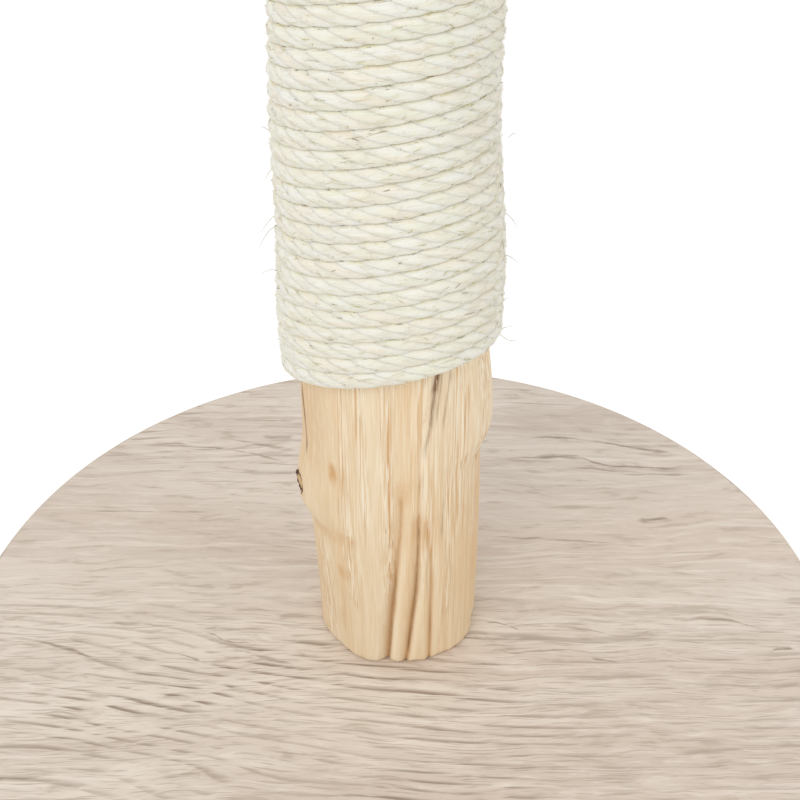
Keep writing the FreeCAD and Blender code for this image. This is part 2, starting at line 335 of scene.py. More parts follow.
# %% Skin helper
def solid_from_rings(name, rings, closed=False):
    """A mesh object over rings of equally many points, each turning left about its way."""
    rings = np.asarray(rings, dtype=float)
    count, around, _ = rings.shape
    here = np.arange(count * around).reshape(count, around)
    beside = np.roll(here, -1, axis=1)
    after = np.roll(here, -1, axis=0)
    after_beside = np.roll(beside, -1, axis=0)
    last = count if closed else count - 1
    quads = np.stack([here, beside, after_beside, after], axis=2)[:last].reshape(-1, 4)
    points = rings.reshape(-1, 3)
    faces = quads.tolist()
    if not closed:
        middles = np.stack([rings[0].mean(axis=0), rings[-1].mean(axis=0)])
        points = np.vstack([points, middles])
        first_pole, last_pole = count * around, count * around + 1
        faces += [(first_pole, int(b), int(a)) for a, b in zip(here[0], beside[0])]
        faces += [(last_pole, int(a), int(b)) for a, b in zip(here[-1], beside[-1])]
    mesh = bpy.data.meshes.new(name)
    mesh.from_pydata(points.tolist(), [], faces)
    mesh.shade_smooth()
    piece = bpy.data.objects.new(name, mesh)
    scene.collection.objects.link(piece)
    return piece


def finish_piece(piece, material, slot, *nodes):
    """The last steps of every piece: its finish, its body and what it stands for. The slot is not
    used.
    """
    if material is not None:
        piece.data.materials.clear()
        piece.data.materials.append(material)
    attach(piece, "root")
    if nodes:
        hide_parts(*nodes)
    triangles = sum(len(polygon.vertices) - 2 for polygon in piece.data.polygons)
    print("%s: %d triangles" % (piece.name, triangles))


# %% [markdown]
# ## The trunk
# The trunk is a young tree that was peeled with a drawknife. Its foot keeps the tree's own
# shape: long hollows where roots began, swellings where branches left, and fibres that the knife
# tore. It could be sculpted, but a trunk is also a rule: a radius for each angle and height. The
# rule is written as functions that work on whole arrays, so one mesh is filled in one go.
# Angles are in degrees from the front, towards the right.

# %% The trunk's rule
trunk_lean_end = 0.9          # these four are shares of the bare foot's height
trunk_belly_end = 0.87
trunk_widening_end = 0.83
hollow_end = 0.88
covered_bend = 2.2 * mm       # how far the trunk bends where the rope covers it
covered_bend_height = 312.0 * mm
covered_bend_reach = 58.0 * mm
foot_rounding = 2.6 * mm
top_chamfer = 2.5 * mm

# angle at the foot, angle at the rope, depth, half width
HOLLOWS = ((-8, 7, 3.2, 9), (11, 19, 2.2, 8), (31, 25, 1.8, 9), (-52, -40, 1.4, 14),
           (78, 66, 1.6, 12), (124, 132, 2.4, 12), (171, 166, 1.8, 10), (-128, -136, 2.6, 13))
# angle, height, rise, half width in degrees, half height above, half height below, sharpness
KNOTS = ((-82, 106, 5.2, 32, 20, 18, 4.5), (82, 151, 6.5, 27, 45, 19, 3.2),
         (150, 62, 3.0, 24, 22, 22, 2.0))


def smooth(share):
    share = np.clip(share, 0.0, 1.0)
    return share * share * (3.0 - 2.0 * share)


def bell(distance, half_width):
    return np.exp(-(distance / half_width) ** 2)


def turn_between(angle, other):
    return (angle - other + 180.0) % 360.0 - 180.0


def plain_radius(level):
    """The trunk's mean radius at a height on the trunk."""
    share = level / bare_foot_height
    belly = np.sin(np.pi * np.minimum(share / trunk_belly_end, 1.0)) ** 2
    widening = trunk_neck_radius - trunk_foot_radius
    low = (trunk_foot_radius + widening * smooth(share / trunk_widening_end)
           + (trunk_belly_radius - trunk_neck_radius) * belly)
    rise = (level - bare_foot_height) / (trunk_height - bare_foot_height)
    high = trunk_neck_radius + (trunk_top_radius - trunk_neck_radius) * rise
    return np.where(level < bare_foot_height, low, high)


def trunk_axis_x(level):
    """The axis leans left in the bare foot, and bends a little more where the rope covers it."""
    bend = covered_bend * bell(level - covered_bend_height, covered_bend_reach)
    return -trunk_lean * smooth(level / (trunk_lean_end * bare_foot_height)) - bend


def grown_radius(angle, level):
    """The trunk's radius with its long hollows and its swollen knots."""
    radius = plain_radius(level) + 0.0 * angle
    share = level / (hollow_end * bare_foot_height)
    fade = 1.0 - smooth(share)
    for foot_angle, rope_angle, depth, half_width in HOLLOWS:
        centre = foot_angle + (rope_angle - foot_angle) * share
        radius -= depth * mm * fade * bell(turn_between(angle, centre), half_width)
    for knot_angle, height, rise, half_width, above, below, sharpness in KNOTS:
        side = bell(turn_between(angle, knot_angle), half_width)
        up = level / mm - height
        upper = bell(up, above)
        lower = np.exp(-np.abs(up / below) ** sharpness)
        clear_of_rope = 1.0 - smooth((level - bare_foot_height) / mm / 16.0)
        radius += rise * mm * side * np.where(up > 0.0, upper, lower) * clear_of_rope
    return radius


def round_angles(count):
    """So many angles, evenly once round."""
    return np.arange(count) * 360.0 / count


def outward(angle):
    """Level unit vectors at angles from the front, towards the right."""
    turned = np.radians(angle)
    return np.stack([np.sin(turned), -np.cos(turned), 0.0 * turned], axis=-1)


print("radius at the foot's front: %.1f mm" % (grown_radius(np.array(0.0), np.array(0.0)) / mm))

# %% [markdown]
# On top of the rule comes what the knife left. Creases are narrow and sharp, and each follows a
# few points read from the photograph. Ripples are many slow waves added up with a fixed seed, so
# the fibres look torn but the result is the same each time. Sawn branch stubs are cut flat, with
# a dark ring of bark round a rough core. Masks of all this are kept on the mesh as attributes,
# so that the finish can paint shade into a crease, and a highlight onto the rib beside it,
# exactly where the shape has them.

# %% The knife's marks
# depth, half width of the left wall and of the right one in mm, then (height in mm, angle)
CREASES = (
    (3.4, 7.0, 0.8, ((0, -7.8), (6, -7.3), (29, -4.9), (55, -1.2), (74, 1.6), (95, 4.5),
                     (116, 6.4))),
    (2.9, 6.5, 0.7, ((0, 6.2), (9, 7.8), (34, 11.3), (54, 14.4), (80, 16.4), (104, 17.3))),
    (0.8, 1.2, 0.9, ((95, 17.2), (161, 18.9), (176, 23.0))),
    (1.9, 4.0, 0.7, ((0, 24.2), (15, 24.6), (51, 25.3), (70, 25.4), (97, 23.4))),
    (0.6, 2.6, 1.2, ((0, 38.0), (44, 36.0))),
    (0.5, 1.8, 1.8, ((0, -27.0), (60, -24.0))),
    (0.6, 1.2, 3.0, ((20, -44.0), (60, -41.0))),
    (0.7, 1.6, 2.6, ((131, 66.0), (136, 76.0), (146, 90.0))),
    (1.5, 2.2, 0.9, ((0, 124.0), (60, 127.0), (118, 131.0))),
    (1.1, 1.0, 2.0, ((0, 168.0), (90, 167.0))),
    (1.6, 2.6, 0.9, ((0, -126.0), (70, -131.0), (120, -134.0))),
    (1.0, 1.4, 1.4, ((8, -150.0), (84, -154.0))),
)
# dark lines in the wood: strength, half width in mm, points as above
MARKS = (
    (1.00, 1.7, ((187, 27.8), (192, 29.0), (204, 31.5))),
    (0.70, 1.1, ((168, 25.6), (178, 26.8), (190, 28.6))),
    (0.40, 0.9, ((152, 21.8), (164, 25.0), (174, 26.2))),
    (0.45, 0.5, ((172, 29.6), (196, 33.0))),
    (0.40, 0.6, ((166, 34.5), (192, 39.0))),
    (1.00, 1.0, ((136, -69.5), (156, -74.0), (166, -75.5))),
    (0.55, 1.0, ((133, 70.0), (137, 78.0), (146, 88.0))),
    (0.45, 0.5, ((12, 8.2), (34, 11.6), (54, 14.6), (96, 17.2))),
    (0.35, 0.5, ((8, -6.6), (40, -2.8), (60, 0.0))),
    (0.40, 0.5, ((96, 33.0), (110, 34.5))),
    (0.50, 0.8, ((150, -162.0), (186, -158.0))),
    (0.95, 0.9, ((56, 149.5), (62, 151.0), (69, 151.5))),
    (0.80, 0.6, ((59, 153.5), (66, 154.5))),
    (0.45, 0.7, ((140, 112.0), (178, 108.0))),
)
# stained places, and at angle 84 a broad tan patch that is partly stain and partly painted shade
# on the right side: strength, angle, height, half width and half height in mm
STAINS_AND_SIDE_SHADE = ((0.85, -41, 130, 3.2, 7), (0.3, 84, 80, 26, 62), (0.36, -64, 160, 22, 50),
          (0.4, -40, 62, 5.5, 5), (0.4, -58, 84, 12, 5), (0.3, -36, 88, 8, 5),
          (0.22, -78, 40, 20, 45), (0.35, 5, 124, 5, 9), (0.3, 80, 138, 14, 5),
          (0.3, 20, 96, 8, 14), (0.4, 150, 62, 14, 15), (0.6, 151, 62, 4.5, 6.5))
# bands where the grain is streaked: angle, half width, lowest and highest level in mm
BANDS = ((-31, 4.5, 60, 200), (-19, 4, 110, 205), (-3, 4.5, 60, 210), (22, 8, 70, 215),
         (46, 9, 105, 210), (38, 4, 40, 120), (70, 7, 90, 210), (-60, 7, -20, 60),
         (100, 10, 10, 200), (140, 8, 60, 220), (-110, 9, 40, 210), (-160, 10, -10, 190),
         (-100, 12, 390, 460), (-28, 7, 390, 460), (24, 9, 390, 460), (75, 6, 400, 460),
         (150, 14, 390, 460))
# sawn branch stubs: angle, height, ring radius, the face's distance from the axis, its own angle
STUBS = ((-78.0, 106.0, 5.5, 51.2, -65.0),)


def line_distance(angle, level, points):
    """How far a place is to the right of a line on the trunk, and how far inside its length."""
    heights = np.array([p[0] for p in points], dtype=float) * mm
    angles = np.array([p[1] for p in points], dtype=float)
    centre = np.interp(level, heights, angles)
    side = np.radians(turn_between(angle, centre)) * trunk_neck_radius
    run_out = 9.0 * mm
    low = smooth((level - heights[0]) / run_out + 1.0)
    high = smooth((heights[-1] - level) / run_out + 1.0)
    return side, low * high


def ripples(angle, level, lowest, highest, waves, slant, seed):
    """Waves round the trunk that drift slowly along it, about -1 to 1."""
    draw = np.random.default_rng(seed)
    total = 0.0 * (angle + level)
    for _ in range(waves):
        cycles = draw.integers(lowest, highest + 1)
        phase, beat_phase = draw.uniform(0.0, 2.0 * np.pi, 2)
        lean, beat = draw.normal(0.0, slant), draw.uniform(8.0, 45.0)
        swell = 0.55 + 0.45 * np.sin(beat * level + beat_phase)
        total = total + swell * np.sin(cycles * np.radians(angle) + lean * level + phase)
    return total / math.sqrt(0.6 * waves)


def streak_bands(angle, level):
    mask = 0.0 * (angle + level)
    for centre, half_width, low, high in BANDS:
        window = smooth((level / mm - low) / 30.0 + 1.0) * smooth((high - level / mm) / 30.0 + 1.0)
        mask = np.maximum(mask, bell(turn_between(angle, centre), half_width) * window)
    return mask


def knife_marks(angle, level, radius):
    """Adds the fine shape. Returns the radius and the masks that the finish needs."""
    bands = streak_bands(angle, level)
    radius = radius + 0.32 * mm * ripples(angle, level, 5, 14, 10, 6.0, 3)
    radius = radius + 0.15 * mm * ripples(angle, level, 22, 60, 34, 14.0, 4)
    torn = ripples(angle, level, 62, 112, 40, 16.0, 5)
    radius = radius + (0.05 + 0.13 * bands) * mm * torn
    crease_shade_mask = 0.0 * (angle + level)
    painted_rib_highlight_mask = 0.0 * (angle + level)
    for depth, left_wall, right_wall, points in CREASES:
        side, window = line_distance(angle, level, points)
        scooped = np.clip(1.0 + side / mm / left_wall, 0.0, 1.0) ** 1.7
        steep = np.exp(-1.4 * np.abs(side / mm) / right_wall)
        groove = np.where(side < 0.0, scooped, steep) * window
        top = points[-1][0]
        shallow = 0.5 + 0.5 * smooth((top - level / mm) / (0.7 * (top - points[0][0])))
        radius = radius - depth * mm * groove * shallow
        # painted shade: the crease's scooped left wall and its bottom are darkened
        painted_crease_shade = groove * shallow * min(depth / 1.8, 1.0)
        crease_shade_mask = np.maximum(crease_shade_mask, painted_crease_shade)
        # painted highlight: a pale strip on the rib just right of each crease
        rib_highlight = bell(side / mm - 3.0, 2.0) * window * shallow * min(depth / 2.5, 1.0)
        painted_rib_highlight_mask = np.maximum(painted_rib_highlight_mask, rib_highlight)
    mark_mask = 0.0 * (angle + level)
    for strength, half_width, points in MARKS:
        side, window = line_distance(angle, level, points)
        line = bell(side / mm, half_width) * window
        radius = radius - 0.25 * mm * line
        mark_mask = np.maximum(mark_mask, line * strength)
    stain_and_shade_mask = 0.0 * (angle + level)
    for strength, patch_angle, height, half_width, half_height in STAINS_AND_SIDE_SHADE:
        across = np.radians(turn_between(angle, patch_angle)) * trunk_neck_radius / mm
        away = np.hypot(across / half_width, (level / mm - height) / half_height)
        stain_and_shade_mask = np.maximum(stain_and_shade_mask, strength * np.exp(-away ** 3))
        pressed = 0.5 if half_height < 20.0 else 0.0
        radius = radius - pressed * mm * strength * np.exp(-away ** 2)
    stub_mask = 0.0 * (angle + level) + 9.0
    for stub_angle, height, ring, face, face_angle in STUBS:
        turned = np.radians(turn_between(angle, stub_angle))
        across = np.sin(turned) * radius
        up = level - height * mm
        facing = np.cos(np.radians(turn_between(angle, face_angle)))
        middle = face * mm * math.cos(math.radians(stub_angle - face_angle))
        flat = middle / np.maximum(facing, 0.3)
        inside = smooth((1.12 * ring * mm - np.hypot(across, up)) / (0.14 * ring * mm) + 0.5)
        inside = np.where(facing > 0.3, inside, 0.0)
        radius = radius + (flat - radius) * inside
        turn = np.arctan2(up, across)
        rough = (0.5 * np.sin(3.0 * turn + 1.0) + 0.3 * np.sin(7.0 * turn)
                 + 0.3 * np.sin(13.0 * turn + 2.0))
        share = np.hypot(across, up * 0.92) / (ring * mm) + 0.10 * rough
        share = np.where(facing > 0.0, share, 9.0)
        radius = radius - 0.9 * mm * bell(share - 0.9, 0.09)
        radius = radius - 0.5 * mm * (share < 0.8) * (0.6 + 0.4 * rough)
        stub_mask = np.minimum(stub_mask, share)
    return radius, {"band": bands, "crease_shade": crease_shade_mask, "rib_highlight": painted_rib_highlight_mask, "mark": mark_mask,
                    "stain_and_shade": stain_and_shade_mask, "stub": stub_mask}


# %% Trunk mesh
trunk_round = 480
insert_hole_radius = 8.2 * mm
insert_hole_depth = 36.0 * mm


def trunk_levels():
    """Heights on the trunk: close together where it is bare, far apart under the rope."""
    rope_top = trunk_height - 58.0 * mm
    seen_foot = bare_foot_height + 26.0 * mm
    step, coarse_step = 1.75 * mm, 8.0 * mm
    rounding = [foot_rounding * (1.0 - math.cos(a)) for a in (0.0, 0.4, 0.8, 1.2, math.pi / 2.0)]
    foot = np.arange(foot_rounding + 1.7 * mm, seen_foot, step)
    hidden = np.linspace(foot[-1] + coarse_step, rope_top - coarse_step, 12)
    head = np.linspace(rope_top, trunk_height - top_chamfer, 24)
    return np.concatenate([rounding, foot, hidden, head])


def trunk_rings():
    """Rings from the insert's hole out to the foot, up the bark side and over the sawn top."""
    angle = round_angles(trunk_round)
    level = trunk_levels()[:, None]
    radius = grown_radius(angle[None, :], level)
    radius, masks = knife_marks(angle[None, :], level, radius)
    drawn_in = np.maximum(foot_rounding - level, 0.0)
    radius = radius - foot_rounding + np.sqrt(np.maximum(foot_rounding ** 2 - drawn_in ** 2, 0.0))
    place = outward(angle)[None] * radius[..., None]
    place[..., 0] += trunk_axis_x(level)
    place[..., 2] += board_top + level
    flat = outward(angle) * insert_hole_radius
    below = [flat + (0, 0, board_top + insert_hole_depth), flat + (0, 0, board_top)]
    above = []
    rim = place[-1]
    middle = np.array([trunk_axis_x(trunk_height), 0.0, board_top + trunk_height])
    for share, drop in ((0.985, 1.6), (0.965, 0.6), (0.945, 0.1), (0.9, 0.0), (0.8, 0.0),
                        (0.66, 0.0), (0.5, 0.0), (0.34, 0.0), (0.2, 0.0), (0.08, 0.0)):
        ring = middle + (rim - middle) * (share, share, 0.0)
        ring[:, 2] = middle[2] - drop * mm
        above.append(ring)
    rings = np.concatenate([np.array(below), place, np.array(above)])
    spread = (len(below), len(above))
    masks = {name: np.vstack([np.repeat(mask[:1], spread[0], 0), mask,
                              np.repeat(mask[-1:], spread[1], 0)]) for name, mask in masks.items()}
    return rings, masks


def keep_mask(piece, name, mask):
    """Stores one number for each point of a piece. The two end poles get 0."""
    values = np.zeros(len(piece.data.vertices), dtype=np.float32)
    flat = np.asarray(mask, dtype=np.float32).ravel()
    values[:len(flat)] = flat
    piece.data.attributes.new(name, "FLOAT", "POINT").data.foreach_set("value", values)


rings, masks = trunk_rings()
trunk_piece = solid_from_rings("peeled_trunk", rings)
for mask_name, mask in masks.items():
    keep_mask(trunk_piece, mask_name, mask)

# %% [markdown]
# The wood's finish reads the piece's own coordinates, stretched along the trunk, so fibres run
# up and down. Colours go on in layers: slow changes of cream, fine fibres, ochre streaks in the
# bands, painted highlights on the ribs, painted shade in the creases, stains (one broad patch on
# the right side is partly painted shade), dark marks, the stubs' bark rings, and the rings of the
# sawn top.

# %% Peeled wood
def peeled_wood():
    material, tree, shader = new_material("peeled_wood")
    place = own_position(tree)
    band, crease_shade, rib_highlight, mark, stain_and_shade, stub = [
        carried(tree, name) for name in ("band", "crease_shade", "rib_highlight", "mark", "stain_and_shade", "stub")]
    colour = toned(tree, place, (26.0, 26.0, 7.0), tint(241, 223, 192), tint(232, 206, 167))
    warm = remap(tree, noise(tree, place, (55.0, 55.0, 5.0), 2.0), 0.46, 0.66)
    colour = over(tree, colour, warm, 0.4, (236, 200, 154))
    fine, streak = fibre_masks(tree, place, (1300.0, 1300.0, 22.0), 0.42)
    fibre = mixed(tree, remap(tree, fine, 0.40, 0.60), tint(206, 162, 108), tint(255, 249, 230))
    colour = mixed(tree, linear(tree, band, 0.36, 0.10), colour, fibre)
    colour = over(tree, colour, streak, linear(tree, band, 0.75, 0.10), (206, 154, 92))
    thin, thin_streak = fibre_masks(tree, place, (2600.0, 2600.0, 46.0), 0.22)
    colour = over(tree, colour, thin_streak, linear(tree, band, 0.85, 0.05), (150, 102, 54))
    pale = remap(tree, noise(tree, place, (800.0, 800.0, 26.0), 2.0), 0.56, 0.66)
    colour = over(tree, colour, pale, linear(tree, band, 0.6, 0.12), (255, 246, 224))
    # painted highlight on the ribs beside the creases
    colour = over(tree, colour, rib_highlight, 0.55, (252, 236, 206))
    # painted shade in the creases
    colour = over(tree, colour, crease_shade, 0.9, (198, 152, 98))
    speck = remap(tree, noise(tree, place, (500.0, 500.0, 120.0), 3.0), 0.25, 0.6, 0.4, 1.0)
    # real stains, and a broad tan patch on the right side that is partly painted shade
    colour = over(tree, colour, stain_and_shade, speck, (206, 152, 84))
    broken = remap(tree, noise(tree, place, (1300.0, 1300.0, 110.0), 3.0), 0.26, 0.48)
    colour = over(tree, colour, mark, broken, (112, 72, 36))
    colour = over(tree, colour, remap(tree, stub, 1.7, 1.1), 0.35, (222, 178, 122))
    ragged = linear(tree, noise(tree, place, 700.0, 3.0), 0.5, -0.25)
    rough_edge = maths(tree, "ADD", stub, ragged)
    core = remap(tree, rough_edge, 0.74, 0.64)
    ring = times(tree, remap(tree, rough_edge, 1.20, 1.08), remap(tree, rough_edge, 0.56, 0.72))
    colour = mixed(tree, core, colour, mixed(tree, noise(tree, place, 500.0, 4.0),
                                             tint(170, 126, 76), tint(236, 208, 158)))
    colour = mixed(tree, ring, colour, tint(84, 56, 32))
    colour = sawn_end(tree, place, colour)
    height = linear(tree, thin, 0.4, fine)
    feed(tree, shader, {
        "Base Color": colour, "Roughness": remap(tree, fine, 0.2, 0.8, 0.72, 0.52),
        "Specular IOR Level": 0.35, "Normal": bumped(tree, height, 0.22 * mm)})
    return material


def sawn_end(tree, place, colour):
    """Year rings and the saw's fine lines on the sawn top, round a pith that is off the axis."""
    pith_shift, year_rings = 4.0 * mm, 19.0
    x = maths(tree, "ADD", part(tree, place, "X"), trunk_lean - pith_shift)
    y = part(tree, place, "Y")
    away = maths(tree, "SQRT", maths(tree, "ADD", times(tree, x, x), times(tree, y, y)))
    wobble = linear(tree, noise(tree, place, 26.0, 3.0), 15.0 * mm, -7.5 * mm)
    away = linear(tree, wobble, remap(tree, away, 0.0, 12.0 * mm), away)
    grown = maths(tree, "POWER", maths(tree, "DIVIDE", away, 42.0 * mm), 0.8)
    ring = remap(tree, maths(tree, "FRACT", times(tree, grown, year_rings)), 0.45, 1.0)
    face = mixed(tree, ring, tint(240, 220, 184), tint(206, 166, 112))
    face = mixed(tree, remap(tree, away, 9.0 * mm, 2.0 * mm), face, tint(188, 146, 98))
    saw = noise(tree, place, (260.0, 2200.0, 1.0), 2.0)
    face = over(tree, face, remap(tree, saw, 0.5, 0.75), 0.3, (170, 126, 80))
    top = board_top + trunk_height
    on_top = remap(tree, part(tree, place, "Z"), top - 1.2 * mm, top - 0.4 * mm)
    return mixed(tree, on_top, colour, face)


wood = peeled_wood()
finish_piece(trunk_piece, wood, "peeled_wood", "trunk")

# %% [markdown]
# ## The rope
# The rope is sisal: three strands laid round each other to the right, eight millimetres thick,
# wound turn on turn. Its turns lie higher at the right and at the front, and less so further up,
# so its way is a formula too. Each strand follows that way at a small distance and goes round it
# once each lay. A geometry tree does this for any way and any phase: it turns the way into a
# curve, moves each point sideways by its own angle, and sweeps the strand's outline along it.

# %% The rope's way
rope_rise_right = 7.8 * mm
rope_rise_right_top = 5.6 * mm
rope_rise_front = 11.0 * mm
rope_rise_front_rest = 6.5 * mm
rope_settling_turns = 6.0
rope_radius = 4.0 * mm
rope_seat = 4.05 * mm         # rope's axis to the trunk
rope_first = -0.5
rope_last = rope_first + rope_turns
# where turns stand off the trunk: how far, height and half height in mm, angle and half width
BULGES = ((2.7, 238, 46, 88, 50), (2.3, 212, 36, -90, 48))


def rope_points(turn):
    """The rope's axis. Turns count from the front of the lowest one, rising to the right."""
    along = np.maximum(turn, 0.0)
    right = rope_rise_right + (rope_rise_right_top - rope_rise_right) * along / rope_turns
    front = (rope_rise_front_rest + (rope_rise_front - rope_rise_front_rest)
             * np.exp(-along / rope_settling_turns))
    out = outward(360.0 * turn)
    level = (bare_foot_height + rope_radius + rope_pitch * turn
             + right * out[:, 0] - front * out[:, 1])
    bulge = 0.0
    for rise, height, half_height, angle, half_width in BULGES:
        bulge = bulge + (rise * mm * bell(level - height * mm, half_height * mm)
                         * bell(turn_between(360.0 * turn, angle), half_width))
    points = out * (plain_radius(level) + rope_seat + bulge)[:, None]
    points[:, 0] += trunk_axis_x(level)
    points[:, 2] += board_top + level
    return points


def line_object(name, points, points_per_line=None):
    """One open line of edges, or many of equally many points, for a tree to start from."""
    every = points_per_line or len(points)
    edges = [(i, i + 1) for i in range(len(points) - 1) if (i + 1) % every]
    mesh = bpy.data.meshes.new(name)
    mesh.from_pydata([tuple(p) for p in points], edges, [])
    piece = bpy.data.objects.new(name, mesh)
    scene.collection.objects.link(piece)
    return piece


points_per_turn = 72
rope_way = rope_points(np.linspace(rope_first, rope_last, rope_turns * points_per_turn + 1))
rope_length = np.linalg.norm(np.diff(rope_way, axis=0), axis=1).sum()
print("rope length %.3f m" % rope_length)

# %% Geometry tree helpers
def geometry_tree(name, sockets):
    """A geometry tree with named inputs. Returns it with its inner inputs and its output."""
    tree, given, result = node_group(
        name, {"Geometry": ("Geometry", None), **sockets, "Material": ("Material", None)},
        {"Geometry": "Geometry"}, "GeometryNodeTree")
    return tree, given, result["Geometry"]


def hand_over(tree, geometry, given, result):
    """A tree's last steps: real faces in place of copies, and their finish."""
    faces = add(tree, "GeometryNodeRealizeInstances", {0: geometry})
    faces = add(tree, "GeometryNodeSetMaterial", {0: faces, "Material": given["Material"]})
    tree.links.new(faces, result)
    return tree


def grow(piece, tree, values):
    """Runs a tree on a piece with the given inputs and keeps the result as a plain mesh."""
    modifier = piece.modifiers.new("grow", "NODES")
    modifier.node_group = tree
    for item in tree.interface.items_tree:
        if item.in_out == "INPUT" and item.name in values:
            modifier[item.identifier] = values[item.name]
    shape = piece.evaluated_get(bpy.context.evaluated_depsgraph_get())
    mesh = bpy.data.meshes.new_from_object(shape)
    mesh.name = piece.name
    piece.modifiers.remove(modifier)
    piece.data = mesh
    return piece


def scaled(tree, vector, factor):
    return add(tree, "ShaderNodeVectorMath", {0: vector, "Scale": factor}, operation="SCALE")


def dice(tree, low, high, seed, more=0.0):
    """A random number for each element. More is added to the seed for a throw of its own."""
    return add(tree, "FunctionNodeRandomValue",
               {2: low, 3: high, "Seed": maths(tree, "ADD", seed, more)}, 1, data_type="FLOAT")


def circle(tree, sides, radius):
    """The outline of a round thread."""
    return add(tree, "GeometryNodeCurvePrimitiveCircle",
               {"Resolution": sides, "Radius": radius}, mode="RADIUS")


def around(tree, normal, side, angle):
    """A unit vector that starts at normal and turns towards side."""
    return vector_maths(tree, "ADD", scaled(tree, normal, maths(tree, "COSINE", angle)),
                        scaled(tree, side, maths(tree, "SINE", angle)))


def stored(tree, geometry, name, value, kind="FLOAT"):
    return add(tree, "GeometryNodeStoreNamedAttribute",
               {"Geometry": geometry, "Name": name, "Value": value}, data_type=kind)


def read(tree, name, kind="FLOAT"):
    return add(tree, "GeometryNodeInputNamedAttribute", {"Name": name}, data_type=kind)


# %% Strand tree
def strand_tree():
    """Lays one strand round the way that the piece's edges give."""
    tree, given, result = geometry_tree("lay_a_strand", {
        "Lay": ("Float", 0.036), "Offset": ("Float", 0.002), "Phase": ("Float", 0.0),
        "Depth": ("Float", 0.002), "Width": ("Float", 0.0022), "Flatness": ("Float", 1.1),
        "Step": ("Float", 0.0016), "Sides": ("Int", 18), "Yarns": ("Int", 5),
        "Yarn lay": ("Float", 0.03), "Yarn relief": ("Float", 0.0001),
        "Row": ("Float", 0.0044), "Wander": ("Float", 0.0002), "Seed": ("Int", 1)})
    curve = add(tree, "GeometryNodeMeshToCurve", {0: given["Geometry"]})
    curve = add(tree, "GeometryNodeResampleCurve", {0: curve, "Length": given["Step"]},
                mode="LENGTH")
    curve = add(tree, "GeometryNodeSetCurveNormal", {0: curve}, mode="Z_UP")
    along = add(tree, "GeometryNodeSplineParameter", output="Length")
    curve = stored(tree, curve, "along", along)
    along = read(tree, "along")
    turned = linear(tree, maths(tree, "DIVIDE", along, given["Lay"]), full_turn, given["Phase"])
    normal = add(tree, "GeometryNodeInputNormal")
    tangent = add(tree, "GeometryNodeInputTangent")
    side = vector_maths(tree, "CROSS_PRODUCT", tangent, normal)
    seeded = linear(tree, given["Seed"], 7.31, times(tree, along, 70.0))
    drift = add(tree, "ShaderNodeTexNoise", {"W": seeded, "Scale": 1.0, "Detail": 1.0}, 1,
                noise_dimensions="1D")
    drift = scaled(tree, vector_maths(tree, "SUBTRACT", drift, (0.5, 0.5, 0.5)),
                   times(tree, given["Wander"], 4.0))
    wide = scaled(tree, side, given["Flatness"])
    curve = stored(tree, curve, "axis", add(tree, "GeometryNodeInputPosition"), "FLOAT_VECTOR")
    away = scaled(tree, around(tree, normal, wide, turned), given["Offset"])
    curve = add(tree, "GeometryNodeSetPosition",
                {0: curve, "Offset": vector_maths(tree, "ADD", away, drift)})
    curve = add(tree, "GeometryNodeSetCurveTilt", {0: curve, "Tilt": turned})
    size = joined(tree, given["Depth"], given["Width"], 1.0)
    outline = add(tree, "GeometryNodeTransform",
                  {0: circle(tree, given["Sides"], 1.0), "Scale": size})
    outline = stored(tree, outline, "around", add(tree, "GeometryNodeSplineParameter",
                                                  output="Factor"))
    mesh = add(tree, "GeometryNodeCurveToMesh", {0: curve, 1: outline, "Fill Caps": True})
    angle = times(tree, read(tree, "around"), full_turn)
    along = read(tree, "along")
    twist = linear(tree, maths(tree, "DIVIDE", along, given["Yarn lay"]), full_turn, angle)
    relief = maths(tree, "COSINE", times(tree, twist, given["Yarns"]))
    place = joined(tree, times(tree, maths(tree, "COSINE", twist), given["Width"]),
                   times(tree, maths(tree, "SINE", twist), given["Width"]),
                   linear(tree, given["Seed"], 11.7, along))
    mesh = stored(tree, mesh, "fibre", place, "FLOAT_VECTOR")
    mesh = stored(tree, mesh, "crown", maths(tree, "COSINE", angle))
    off_axis = vector_maths(tree, "SUBTRACT", add(tree, "GeometryNodeInputPosition"),
                            read(tree, "axis", "FLOAT_VECTOR"))
    height = maths(tree, "ABSOLUTE", part(tree, off_axis, "Z"))
    mesh = stored(tree, mesh, "height", maths(tree, "DIVIDE", height, given["Row"]))
    rough = noise(tree, read(tree, "fibre", "FLOAT_VECTOR"), (1500.0, 1500.0, 160.0), 3.0)
    relief = maths(tree, "ADD", relief, linear(tree, rough, 5.0, -2.5))
    push = scaled(tree, add(tree, "GeometryNodeInputNormal"),
                  times(tree, relief, given["Yarn relief"]))
    mesh = add(tree, "GeometryNodeSetPosition", {0: mesh, "Offset": push})
    mesh = add(tree, "GeometryNodeSetShadeSmooth", {0: mesh})
    return hand_over(tree, mesh, given, result)
